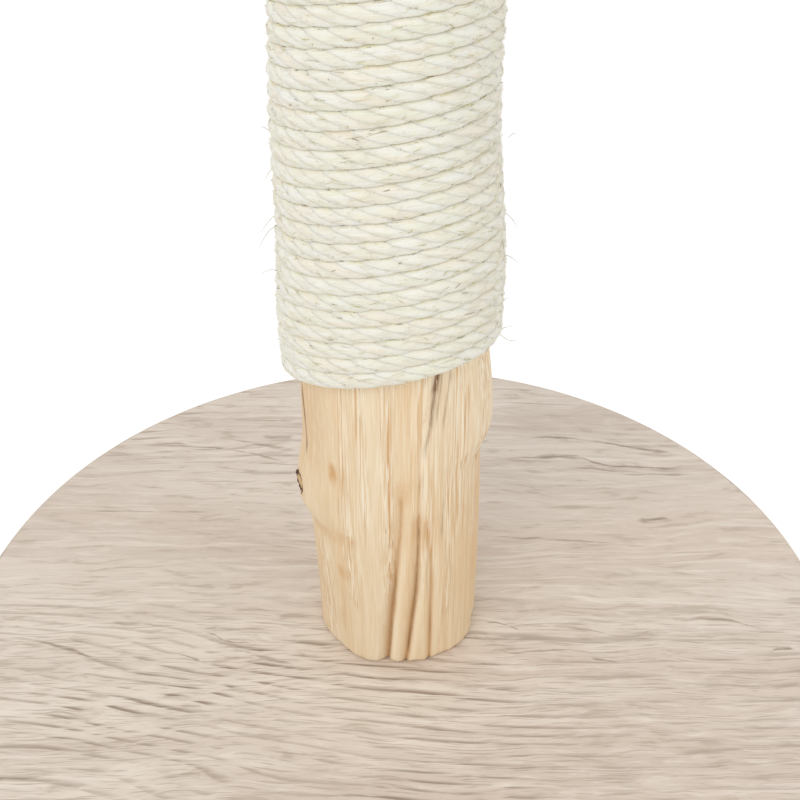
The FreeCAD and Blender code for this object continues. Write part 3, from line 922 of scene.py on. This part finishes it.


# %% [markdown]
# Sisal is ivory, but no two fibres are alike: some stretches are pinkish, some greenish, and
# thin olive and brown flecks of the leaf's skin stay in it. The strand's own coordinates, kept
# by the tree, let fibres follow the strand. The flanks, where strands meet, and the grooves
# between turns get painted shade, and the dark flecks gather in the grooves, where they are
# partly real and partly painted shade.

# %% Sisal
def sisal(name, ivory, shade):
    material, tree, shader = new_material(name)
    fibre = carried(tree, "fibre", "Vector")
    patch = toned(tree, fibre, (180.0, 180.0, 42.0), tint(*ivory), tint(*shade))
    pink = remap(tree, noise(tree, fibre, (130.0, 130.0, 34.0), 2.0), 0.50, 0.64)
    colour = over(tree, patch, pink, 0.65, (255, 240, 224))
    green = remap(tree, noise(tree, fibre, (140.0, 140.0, 26.0), 2.0, 0.5, 0.4), 0.52, 0.68)
    colour = over(tree, colour, green, 0.6, (240, 243, 222))
    fine, streak = fibre_masks(tree, fibre, (2200.0, 2200.0, 85.0), 0.3)
    threads = mixed(tree, remap(tree, fine, 0.3, 0.7), tint(226, 216, 184), tint(255, 255, 250))
    colour = mixed(tree, 0.22, colour, threads)
    colour = over(tree, colour, streak, 0.24, (218, 207, 170))
    groove = remap(tree, carried(tree, "height"), 0.72, 1.0)
    flank_shade = remap(tree, carried(tree, "crown"), 0.35, -0.25, 0.0, 0.6)
    # painted shade: darker in the grooves between turns and on the flanks where strands meet
    colour = over(tree, colour, maths(tree, "MAXIMUM", groove, flank_shade), 0.25, (226, 218, 184))
    golden = remap(tree, noise(tree, fibre, (420.0, 420.0, 90.0), 2.0), 0.54, 0.64)
    colour = over(tree, colour, golden, linear(tree, groove, 0.5, 0.04), (212, 204, 136))
    # dark flecks of the leaf's skin, gathered in the grooves, partly real and partly painted shade
    fleck_and_groove_shade = remap(tree, noise(tree, fibre, (900.0, 900.0, 220.0), 2.0), 0.62, 0.67)
    colour = over(tree, colour, fleck_and_groove_shade, linear(tree, groove, 0.75, 0.05), (120, 106, 66))
    feed(tree, shader, {
        "Base Color": colour, "Roughness": remap(tree, fine, 0.2, 0.8, 0.85, 0.6),
        "Specular IOR Level": 0.2, "Subsurface Weight": 0.55,
        "Subsurface Radius": (1.0, 0.95, 0.8), "Subsurface Scale": 2.2 * mm,
        "Normal": bumped(tree, fine, 0.5 * mm)})
    return material


rope_sisal = sisal("rope_sisal", (255, 253, 243), (250, 245, 228))

# %% Rope strands
strand_count = 3
rope_lay = 36.0 * mm
lay_strand = strand_tree()
for index in range(strand_count):
    strand = line_object("rope_strand_%d" % (index + 1), rope_way)
    grow(strand, lay_strand, {
        "Lay": rope_lay, "Offset": 1.27 * mm, "Phase": full_turn * index / strand_count,
        "Depth": 2.92 * mm, "Width": 3.6 * mm, "Flatness": 1.72, "Step": 1.65 * mm,
        "Sides": 18, "Yarns": 5, "Yarn lay": 26.0 * mm, "Yarn relief": 0.06 * mm,
        "Wander": 0.22 * mm, "Row": rope_pitch / 2.0,
        "Seed": index + 1, "Material": rope_sisal})
    finish_piece(strand, None, "sisal_rope", "rope_winding")

# %% [markdown]
# ## Loose fibres
# What makes rope look like rope is its fuzz. Thousands of short fibres lie nearly along the
# strands, shorter and thicker ones cross the grooves between them, and a few long hairs stand off
# and show against the background. A second tree drops bent, tapering fibres on the rope's
# surface. Each is only a few faces, because there are many.

# %% Fibre tree
def fibre_tree():
    tree, given, result = geometry_tree("scatter_fibres", {
        "Count": ("Int", 4000), "Length": ("Float", 0.008), "Thickness": ("Float", 0.00012),
        "Distance": ("Float", 0.0042), "Spread": ("Float", 1.4), "Splay": ("Float", 0.25),
        "Bend": ("Float", 0.0008), "Seed": ("Int", 1)})
    curve = add(tree, "GeometryNodeMeshToCurve", {0: given["Geometry"]})
    curve = add(tree, "GeometryNodeSetCurveNormal", {0: curve}, mode="Z_UP")
    points = add(tree, "GeometryNodeCurveToPoints", {0: curve, "Count": given["Count"]},
                 mode="COUNT").node
    tangent, normal = points.outputs["Tangent"], points.outputs["Normal"]
    side = vector_maths(tree, "CROSS_PRODUCT", tangent, normal)
    seed = given["Seed"]
    angle = times(tree, dice(tree, -1.0, 1.0, seed), given["Spread"])
    out = around(tree, normal, side, angle)
    placed = add(tree, "GeometryNodeSetPosition",
                 {0: points.outputs["Points"], "Offset": scaled(tree, out, given["Distance"])})
    placed = stored(tree, placed, "shade", dice(tree, 0.0, 1.0, seed, 1.0))
    line = add(tree, "GeometryNodeCurvePrimitiveLine", {"Start": (0, 0, -0.5), "End": (0, 0, 0.5)},
               mode="POINTS")
    line = add(tree, "GeometryNodeResampleCurve", {0: line, "Count": 6}, mode="COUNT")
    share = add(tree, "GeometryNodeSplineParameter", output="Factor")
    hump = times(tree, share, maths(tree, "SUBTRACT", 1.0, share))
    bow = joined(tree, times(tree, hump, times(tree, given["Bend"], 4.0)))
    line = add(tree, "GeometryNodeSetPosition", {0: line, "Offset": bow})
    outline = circle(tree, 3, times(tree, given["Thickness"], 0.5))
    one = add(tree, "GeometryNodeCurveToMesh",
              {0: line, 1: outline, "Scale": linear(tree, hump, 2.8, 0.3), "Fill Caps": True})
    lean = add(tree, "FunctionNodeRandomValue",
               {0: (-1, -1, -1), 1: (1, 1, 1), "Seed": maths(tree, "ADD", seed, 2.0)}, 0,
               data_type="FLOAT_VECTOR")
    heading = vector_maths(tree, "ADD", tangent, scaled(tree, lean, given["Splay"]))
    spin = joined(tree, z=dice(tree, 0.0, full_turn, seed, 3.0))
    turned = add(tree, "FunctionNodeAlignRotationToVector",
                 {"Rotation": add(tree, "FunctionNodeEulerToRotation", {0: spin}),
                  "Vector": heading}, axis="Z")
    length = times(tree, given["Length"], dice(tree, 0.4, 1.3, seed, 4.0))
    many = add(tree, "GeometryNodeInstanceOnPoints",
               {0: placed, "Instance": one, "Rotation": turned,
                "Scale": joined(tree, 1.0, 1.0, length)})
    return hand_over(tree, many, given, result)


def fibre_finish():
    """Pale fibres, with a few golden and olive ones among them."""
    material, tree, shader = new_material("loose_sisal")
    shade = carried(tree, "shade")
    grain = noise(tree, own_position(tree), 900.0, 2.0)
    colour = mixed(tree, shade, tint(255, 253, 244), tint(240, 231, 204))
    colour = mixed(tree, remap(tree, shade, 0.91, 0.93), colour, tint(204, 192, 128))
    colour = mixed(tree, remap(tree, shade, 0.97, 0.98), colour, tint(150, 126, 84))
    colour = over(tree, colour, grain, 0.2, (255, 252, 244))
    feed(tree, shader, {"Base Color": colour,
                        "Roughness": remap(tree, grain, 0.3, 0.7, 0.8, 0.6)})
    return material


loose_sisal = fibre_finish()
scatter = fibre_tree()


def scattered(name, way, count, length, thickness, distance, spread, splay, bend, seed,
              points_per_line=None):
    """One piece of fibres along a way. Its four lengths are in millimetres."""
    piece = line_object(name, way, points_per_line)
    grow(piece, scatter, {"Count": count, "Length": length * mm, "Thickness": thickness * mm,
                          "Distance": distance * mm, "Spread": spread, "Splay": splay,
                          "Bend": bend * mm, "Seed": seed, "Material": loose_sisal})
    finish_piece(piece, None, "sisal_rope")


scattered("rope_fibres", rope_way, 6000, 9.0, 0.2, 4.25, 1.5, 0.22, 0.5, 21)
scattered("rope_nap", rope_way, 6000, 6.0, 0.36, 4.1, 1.65, 0.42, 0.35, 83)
scattered("rope_tufts", rope_way, 6000, 4.5, 0.44, 4.1, 1.65, 0.65, 0.35, 94)

# %% Frayed side and stray hairs
right_sides = np.concatenate([rope_points(np.linspace(turn + 0.1, turn + 0.34, 9))
                              for turn in range(rope_turns - 1)])
scattered("rope_fray", right_sides, 150, 5.5, 0.11, 4.5, 1.4, 0.75, 0.9, 57, 9)

# side (-1 left, 1 right), then (away from the trunk's axis, height above the board) in mm
HAIRS = (
    (-1, ((52, 256), (57, 252), (62, 243), (64.5, 236))),
    (-1, ((52, 262), (58, 256), (63, 247))),
    (-1, ((51, 229), (56, 232), (61, 230), (66, 224))),
    (-1, ((51, 186), (55, 185), (58, 186))),
    (-1, ((53, 303), (57, 306), (59, 303))),
    (-1, ((53, 285), (56, 281), (57, 276))),
    (1, ((55, 262), (59, 258), (62, 250))),
    (1, ((55, 240), (59, 239), (64, 233))),
    (1, ((54, 196), (59, 192), (64, 192), (68, 190))),
    (1, ((54, 197), (58, 200), (64, 200))),
    (1, ((55, 214), (58, 217), (60, 215))),
    (1, ((54, 300), (57, 303), (59, 300))),
)


def hair_tree():
    """Turns lines into thin smooth hairs."""
    tree, given, result = geometry_tree("thin_hairs", {"Thickness": ("Float", 0.0002)})
    curve = add(tree, "GeometryNodeMeshToCurve", {0: given["Geometry"]})
    curve = add(tree, "GeometryNodeCurveSplineType", {0: curve}, spline_type="CATMULL_ROM")
    curve = add(tree, "GeometryNodeResampleCurve", {0: curve, "Count": 14}, mode="COUNT")
    share = add(tree, "GeometryNodeSplineParameter", output="Factor")
    outline = circle(tree, 5, times(tree, given["Thickness"], 0.5))
    mesh = add(tree, "GeometryNodeCurveToMesh",
               {0: curve, 1: outline, "Scale": remap(tree, share, 1.1, 0.2), "Fill Caps": True})
    return hand_over(tree, stored(tree, mesh, "shade", 1.0), given, result)


points_per_hair = 4
axis_shift = 4.5 * mm         # the covered trunk's axis is this far to the left
hair_points = []
for side, places in HAIRS:
    steps = np.linspace(0, len(places) - 1, points_per_hair)
    for away, height in zip(*[np.interp(steps, range(len(places)), part_of) for part_of
                              in zip(*places)]):
        hair_points.append((side * away * mm - axis_shift, -0.1 * away * mm,
                            board_top + height * mm))
hairs = line_object("stray_hairs", hair_points, points_per_hair)
grow(hairs, hair_tree(), {"Thickness": 0.3 * mm, "Material": loose_sisal})
finish_piece(hairs, None, "sisal_rope")

# %% [markdown]
# ## The oak decor
# The board is faced with a printed and pressed oak decor, limed until it is nearly grey. The
# print is a surface pattern and stays a finish: slow bands of tone, wavy year lines that break
# into short dashes, and fine pores. All of it comes from noise stretched along the grain, which
# runs from side to side. One group makes it for the top sheet, the underside and the edge strip.

# %% Oak decor
# printed lines: darkness, half width in mm, then (right, back) in mm from the board's middle
LINES = (
    (0.75, 0.7, ((-214, 87.6), (-160, 88.4), (-111, 87.2))),
    (0.80, 1.2, ((-184, 156), (-150, 157), (-118, 153), (-93, 146), (-66, 136))),
    (0.60, 1.6, ((-124, 168), (-100, 160), (-66, 152))),
    (0.60, 1.2, ((-126, 190), (-98, 187), (-66, 187))),
    (0.85, 1.5, ((70, 164), (100, 167), (124, 165), (154, 157), (178, 151), (208, 139))),
    (0.85, 1.4, ((55, 136), (88, 144), (117, 145), (132, 139), (153, 134), (212, 131))),
    (0.60, 0.7, ((69, 207.6), (102, 206.3), (140, 205))),
    (0.70, 0.9, ((98, 130.4), (123, 132.6), (139, 130.4), (163, 125.6), (211, 128.2))),
    (0.85, 2.2, ((150, 79), (161, 80), (176, 79))),
    (0.70, 0.8, ((48, 64), (104, 61), (160, 54))),
    (0.80, 1.1, ((47, -10.6), (60, -12.2), (73, -19.5))),
    (0.75, 1.0, ((46, -25.1), (56, -29.1), (64, -34.6), (74, -33), (92, -31.9), (115, -33.8),
                 (142, -33.8))),
    (0.85, 1.8, ((106, -38.6), (119, -40.8), (128, -43.1))),
    (0.90, 1.4, ((209, -34.6), (219, -31.4), (226, -33.8))),
    (0.90, 1.6, ((-223, -24.4), (-208, -25.1), (-190, -31), (-174, -37.6), (-159, -44.1))),
    (0.70, 1.0, ((-193, -20.6), (-186, -24.4), (-173, -27.3), (-158, -34))),
    (0.75, 1.0, ((-173, -9.2), (-160, -11.5), (-140, -13.8), (-126, -17.6))),
    (0.80, 1.2, ((-114, -16.8), (-106, -19.9), (-99, -24.4), (-81, -26.3))),
    (0.80, 1.2, ((-131, -32.5), (-121, -36.9), (-109, -42.7))),
    (0.75, 1.2, ((-96, -29.6), (-87, -34), (-74, -38.3), (-56, -44.1))),
    (0.60, 2.0, ((-97, 170.6), (-85, 166.2), (-70, 171))),
    (0.60, 0.8, ((-132, 136.5), (-100, 130.3), (-67, 126.2))),
    (0.80, 0.9, ((160, -12), (184, -7.5), (201, -12), (215, -19))),
    (0.60, 0.8, ((86, -12), (112, -17), (129, -22), (143, -18), (156, -13))),
)


def drawn_line(tree, place, half_width, points):
    """A line through a few points of the board, thin at both ends and a little broken."""
    left, right = points[0][0] * mm, points[-1][0] * mm
    low, high = min(p[1] for p in points) - 1.0, max(p[1] for p in points) + 1.0
    share = add(tree, "ShaderNodeMapRange", {0: part(tree, place, "X"), 1: left, 2: right})
    curve = tree.nodes.new("ShaderNodeFloatCurve")
    spots = curve.mapping.curves[0].points
    for _ in points[2:]:
        spots.new(0.5, 0.5)
    for index, (x, y) in enumerate(points):
        at = (x - points[0][0]) / (points[-1][0] - points[0][0])
        spots[index].location = (at, (y - low) / (high - low))
    curve.mapping.update()
    tree.links.new(share, curve.inputs["Value"])
    centre = linear(tree, curve.outputs["Value"], (high - low) * mm, low * mm)
    away = maths(tree, "ABSOLUTE", maths(tree, "SUBTRACT", part(tree, place, "Y"), centre))
    ends = times(tree, remap(tree, share, 0.0, 0.25), remap(tree, share, 1.0, 0.75))
    swell = remap(tree, noise(tree, place, (45.0, 60.0, 60.0), 2.0), 0.42, 0.66, 0.7, 2.3)
    swell = times(tree, swell, linear(tree, ends, 0.9, 0.1))
    away = maths(tree, "DIVIDE", away, swell)
    return times(tree, remap(tree, away, half_width * mm, 0.1 * half_width * mm), ends)


def oak_group():
    tree, given, result = node_group(
        "limed_oak", {"Vector": ("Vector", None), "Contrast": ("Float", 1.0)},
        {"Color": "Color", "Relief": "Float"})
    place = given["Vector"]
    wave = noise(tree, place, (7.0, 18.0, 18.0), 3.0)
    bent = vector_maths(tree, "ADD", place, joined(tree, y=linear(tree, wave, 0.028, -0.014)))
    across, level = part(tree, place, "X"), part(tree, place, "Y")
    colour = toned(tree, bent, (3.0, 26.0, 26.0), tint(230, 218, 204), tint(214, 199, 184))
    pink = remap(tree, noise(tree, bent, (2.2, 15.0, 15.0), 2.0), 0.48, 0.70)
    colour = over(tree, colour, pink, 0.5, (220, 202, 187))
    ray = noise(tree, bent, (40.0, 190.0, 190.0), 3.0, 0.6, 0.5)
    colour = mixed(tree, remap(tree, ray, 0.52, 0.70, 0.0, 0.4), colour, tint(240, 230, 217))
    colour = mixed(tree, remap(tree, ray, 0.47, 0.30, 0.0, 0.75), colour, tint(196, 180, 163))
    pale = remap(tree, noise(tree, bent, (12.0, 260.0, 260.0), 3.0), 0.52, 0.68)
    colour = over(tree, colour, pale, 0.45, (240, 231, 218))
    # wavy year lines, with an arch where the print shows the heart of the board
    arch = vector_maths(tree, "SUBTRACT", place, (-0.235, -0.07, 0.0))
    arch = vector_maths(tree, "MULTIPLY", arch, (7.5, 13.0, 0.0))
    arch = add(tree, "ShaderNodeVectorMath", {0: arch}, "Value", operation="LENGTH")
    arch = remap(tree, arch, 1.7, 0.0, 0.0, 5.5)
    sway = times(tree, noise(tree, place, (2.0, 8.0, 8.0), 3.0, 0.45), 13.0)
    field = linear(tree, level, 120.0, sway)
    rings = maths(tree, "FRACT", maths(tree, "SUBTRACT", field, arch))
    line = times(tree, remap(tree, rings, 0.0, 0.10), remap(tree, rings, 0.50, 0.12))
    dash = remap(tree, noise(tree, bent, (24.0, 420.0, 420.0), 3.0, 0.6), 0.42, 0.58)
    # they are dark at the front, fainter at the back and fade towards the right
    front = remap(tree, level, 0.035, -0.02)
    back = remap(tree, level, 0.09, 0.14, 0.0, 0.55)
    patchy = remap(tree, noise(tree, place, (5.0, 12.0, 12.0), 2.0), 0.35, 0.6, 0.35, 1.0)
    zone = maths(tree, "MAXIMUM", maths(tree, "MAXIMUM", front, back), 0.12)
    zone = times(tree, times(tree, zone, patchy), remap(tree, across, 0.16, -0.08, 0.5, 1.25))
    dark = times(tree, times(tree, line, dash), zone)
    pores = remap(tree, noise(tree, bent, (40.0, 1000.0, 1000.0), 2.0, 0.55), 0.54, 0.66)
    dark = maths(tree, "MAXIMUM", dark, times(tree, pores, linear(tree, front, 0.30, 0.16)))
    jitter = linear(tree, noise(tree, place, (45.0, 90.0, 90.0), 3.0), 5.0 * mm, -2.5 * mm)
    rough = vector_maths(tree, "ADD", place, joined(tree, y=jitter))
    torn = remap(tree, noise(tree, bent, (50.0, 400.0, 400.0), 3.0), 0.34, 0.56, 0.25, 1.0)
    for darkness, half_width, points in LINES:
        line = times(tree, drawn_line(tree, rough, half_width, points), torn)
        dark = maths(tree, "MAXIMUM", dark, times(tree, line, darkness))
    dark = maths(tree, "MINIMUM", times(tree, dark, given["Contrast"]), 1.0)
    tree.links.new(mixed(tree, dark, colour, tint(158, 140, 122)), result["Color"])
    tree.links.new(maths(tree, "SUBTRACT", 1.0, dark), result["Relief"])
    return tree


limed_oak = oak_group()


def oak_sockets(tree, place, contrast):
    """Places the decor group. Returns its colour and its relief."""
    group = add(tree, "ShaderNodeGroup", {"Vector": place, "Contrast": contrast},
                node_tree=limed_oak).node
    return group.outputs["Color"], group.outputs["Relief"]


def oak_finish(name, contrast, shift):
    """The decor with its own part of the pattern, chosen by a shift."""
    material, tree, shader = new_material(name)
    place = vector_maths(tree, "ADD", own_position(tree), shift)
    colour, relief = oak_sockets(tree, place, contrast)
    feed(tree, shader, {
        "Base Color": colour, "Roughness": remap(tree, relief, 0.0, 1.0, 0.62, 0.46),
        "Specular IOR Level": 0.35, "Normal": bumped(tree, relief, 0.12 * mm)})
    return material


paint("top_laminate", oak_finish("oak_top", 1.0, (0.0, 0.0, 0.0)))
paint("bottom_laminate", oak_finish("oak_underside", 0.7, (1.3, 0.4, 0.0)))
print("oak decor on both faces")

# %% [markdown]
# ## The board's core and edge
# The core is pressed from chips. It shows only inside the holes underneath, but a part that can
# be taken apart should be true all through. The edge strip is a thin band with rounded corners.
# It goes once round the board, and its two ends nearly meet at the back.

# %% Pressed chips
def pressed_chips():
    material, tree, shader = new_material("pressed_chips")
    place = own_position(tree)
    flat = vector_maths(tree, "MULTIPLY", place, (260.0, 260.0, 700.0))
    cell = add(tree, "ShaderNodeTexVoronoi", {"Vector": flat, "Scale": 1.0}).node
    chip = add(tree, "ShaderNodeSeparateColor", {0: cell.outputs["Color"]})
    colour = mixed(tree, chip, tint(206, 172, 124), tint(158, 120, 78))
    seam = remap(tree, cell.outputs["Distance"], 0.35, 0.75)
    feed(tree, shader, {
        "Base Color": over(tree, colour, seam, 0.5, (110, 80, 50)),
        "Roughness": remap(tree, chip, 0.0, 1.0, 0.75, 0.9),
        "Normal": bumped(tree, seam, -0.3 * mm)})
    return material


paint("base_core", pressed_chips())

# %% Edge strip
band_thickness = 1.2 * mm
band_rounding = 0.6 * mm
band_joint_gap = 0.4 * mm


def rounded_outline(width, height, rounding, steps=4):
    """A rectangle with rounded corners that turns right, from its upper right corner down."""
    outline = []
    for corner, (x, y) in enumerate(((1, 1), (1, -1), (-1, -1), (-1, 1))):
        for step in range(steps + 1):
            turn = math.radians(90.0 - 90.0 * corner - 90.0 * step / steps)
            outline.append((x * (width / 2.0 - rounding) + rounding * math.cos(turn),
                            y * (height / 2.0 - rounding) + rounding * math.sin(turn)))
    return np.array(outline)


def edge_strip():
    height = board_top - board_bottom
    outline = rounded_outline(band_thickness, height, band_rounding)
    outline += (board_radius - band_thickness / 2.0, board_bottom + height / 2.0)
    joint = math.degrees(band_joint_gap / board_radius) / 2.0
    angles = np.linspace(-180.0 + joint, 180.0 - joint, 361)
    rings = outward(angles)[:, None, :] * outline[None, :, :1]
    rings[..., 2] = outline[None, :, 1]
    piece = solid_from_rings("board_edge_strip", rings)
    keep_mask(piece, "along", np.repeat(np.radians(angles) * board_radius, len(outline)))
    return piece


def strip_finish():
    """The same oak decor, bent round the edge with its grain along the strip."""
    material, tree, shader = new_material("oak_strip")
    level = part(tree, own_position(tree), "Z")
    colour, relief = oak_sockets(tree, joined(tree, carried(tree, "along"), level, 0.7), 0.9)
    feed(tree, shader, {"Base Color": colour, "Roughness": 0.5,
                        "Normal": bumped(tree, relief, 0.1 * mm)})
    return material


finish_piece(edge_strip(), strip_finish(), "edge_strip", "edge_band")

# %% [markdown]
# ## Small parts underneath
# Six felt pads and three screws repeat round the board's middle. Each is modelled once, and a
# tree sets copies round a circle, each facing its own way, so that no two look the same. A pad
# is a disc of pressed felt with a soft, uneven edge. A screw has a cross recess in its head and
# a thread that its tip runs out of, both made by changing the radius round each ring.

# %% Repeat round a circle
def circle_tree():
    tree, given, result = geometry_tree("repeat_round_a_circle", {
        "Count": ("Int", 6), "Radius": ("Float", 0.2), "First angle": ("Float", 0.0),
        "Seed": ("Int", 1)})
    ring = add(tree, "GeometryNodeMeshCircle",
               {"Vertices": given["Count"], "Radius": given["Radius"]}, fill_type="NONE")
    first = joined(tree, z=given["First angle"])
    ring = add(tree, "GeometryNodeTransform", {0: ring, "Rotation": first})
    spin = joined(tree, z=dice(tree, 0.0, full_turn, given["Seed"]))
    many = add(tree, "GeometryNodeInstanceOnPoints",
               {0: ring, "Instance": given["Geometry"], "Rotation": spin})
    return hand_over(tree, many, given, result)


round_a_circle = circle_tree()

# %% Felt pads
pad_count = 6
pad_radius = 15.0 * mm
pad_thickness = 3.4 * mm
pad_circle_radius = 212.0 * mm


def felt_pad():
    """A disc whose side bulges a little and whose rim is frayed."""
    angle = round_angles(96)
    frayed = 0.25 * mm * ripples(angle, 0.0 * angle, 9, 40, 24, 0.0, 31)
    rings = []
    for share, height in ((0.35, 0.0), (0.7, 0.0), (0.93, 0.0), (0.975, 0.05), (0.99, 0.2),
                          (0.985, 0.5), (0.99, 0.8), (0.985, 0.95), (0.975, 1.0), (0.7, 1.0),
                          (0.35, 1.0)):
        ring = outward(angle) * (pad_radius * share - 0.3 * mm + frayed * share ** 4)[:, None]
        ring[:, 2] = pad_thickness * height
        rings.append(ring)
    return solid_from_rings("felt_pads", rings)


def felt():
    material, tree, shader = new_material("pressed_felt")
    place = own_position(tree)
    colour = toned(tree, place, (900.0, 900.0, 900.0), tint(118, 102, 90), tint(92, 78, 68))
    hair, pale = fibre_masks(tree, place, (500.0, 2600.0, 1500.0), 0.3)
    feed(tree, shader, {
        "Base Color": over(tree, colour, pale, 0.5, (160, 144, 128)),
        "Roughness": remap(tree, hair, 0.2, 0.8, 0.85, 1.0),
        "Normal": bumped(tree, hair, 0.5 * mm)})
    return material


pads = grow(felt_pad(), round_a_circle, {
    "Count": pad_count, "Radius": pad_circle_radius, "First angle": math.radians(-60.0),
    "Seed": 5, "Material": felt()})
finish_piece(pads, None, "pad_felt", *["floor_pad_%d" % (i + 1) for i in range(pad_count)])

# %% Zinc plate
def plated(name, light, dark, worn):
    """Metal with cloudy plating, fine drawing lines and a few dull spots."""
    material, tree, shader = new_material(name)
    place = own_position(tree)
    colour = toned(tree, place, (140.0, 140.0, 140.0), light, dark)
    lines = fibre_masks(tree, place, (4000.0, 4000.0, 300.0), 0.3)[0]
    dull = remap(tree, noise(tree, place, 420.0, 3.0), 0.45, 0.7)
    rough = linear(tree, dull, worn, linear(tree, lines, 0.15, 0.2))
    feed(tree, shader, {"Base Color": colour, "Roughness": rough, "Metallic": 1.0,
                        "Normal": bumped(tree, lines, 0.03 * mm)})
    return material


zinc = plated("zinc_plate", tint(206, 210, 214), tint(188, 188, 178), 0.2)
for name in ("threaded_insert", "centre_bolt", "spring_lock_washer", "flat_washer"):
    paint(name, zinc)

# %% Screws
screw_count = 3
screw_circle_radius = 29.0 * mm
screw_head_radius = 5.0 * mm
screw_shank_radius = 2.5 * mm
screw_head_height = 2.8 * mm
screw_bottom = board_bottom + 0.4 * mm
screw_tip = board_top + 32.0 * mm


def screw():
    """Rings from the bottom of the cross recess over the head and along the thread to the tip."""
    angle = round_angles(72)
    turned = np.radians(angle)
    cross = 0.9 * mm + 1.7 * mm * np.abs(np.cos(2.0 * turned)) ** 3.0
    rings = [(0.45 * cross, 1.9 * mm), (0.8 * cross, 1.0 * mm), (cross, 0.0),
             (0.0 * angle + 0.75 * screw_head_radius, 0.0),
             (0.0 * angle + 0.95 * screw_head_radius, 0.0),
             (0.0 * angle + screw_head_radius, 0.25 * mm),
             (0.0 * angle + 0.92 * screw_head_radius, 0.5 * mm),
             (0.0 * angle + 0.8 * screw_shank_radius, screw_head_height),
             (0.0 * angle + 0.8 * screw_shank_radius, 14.0 * mm)]
    length = screw_tip - screw_bottom
    pitch, run_out = 2.0 * mm, 6.0 * mm
    for height in np.arange(14.0 * mm + pitch / 8.0, length - 0.3 * mm, pitch / 8.0):
        phase = (height / pitch - turned / full_turn) % 1.0
        ridge = np.clip(1.0 - np.abs(phase - 0.5) * 4.5, 0.0, 1.0)
        taper = min(1.0, (length - height) / run_out)
        rings.append((screw_shank_radius * (0.66 + 0.33 * ridge) * taper, height))
    stack = []
    for radius, height in rings:
        ring = outward(angle) * radius[:, None]
        ring[:, 2] = screw_bottom + height
        stack.append(ring)
    return solid_from_rings("cross_head_screws", stack)


screws = grow(screw(), round_a_circle, {
    "Count": screw_count, "Radius": screw_circle_radius, "First angle": math.radians(-30.0),
    "Seed": 8, "Material": zinc})
finish_piece(screws, None, "zinc_steel",
             *["anti_turn_screw_%d" % (i + 1) for i in range(screw_count)])

# %% [markdown]
# ## Rope ends
# Both ends lie at the back, where a staple holds each. A cut end frays, so the same fibre tree
# is used once more on the last few millimetres, with longer fibres that splay further.

# %% Staples and frayed ends
bright_wire = plated("bright_wire", tint(216, 216, 214), tint(190, 190, 188), 0.12)
paint("lower_rope_staple", bright_wire)
paint("upper_rope_staple", bright_wire)
for name, low, high in (("lower_rope_brush", rope_first, rope_first + 0.02),
                        ("upper_rope_brush", rope_last - 0.02, rope_last)):
    scattered(name, rope_points(np.linspace(low, high, 5)),
              260, 11.0, 0.22, 3.2, math.pi, 0.35, 1.2, 41)
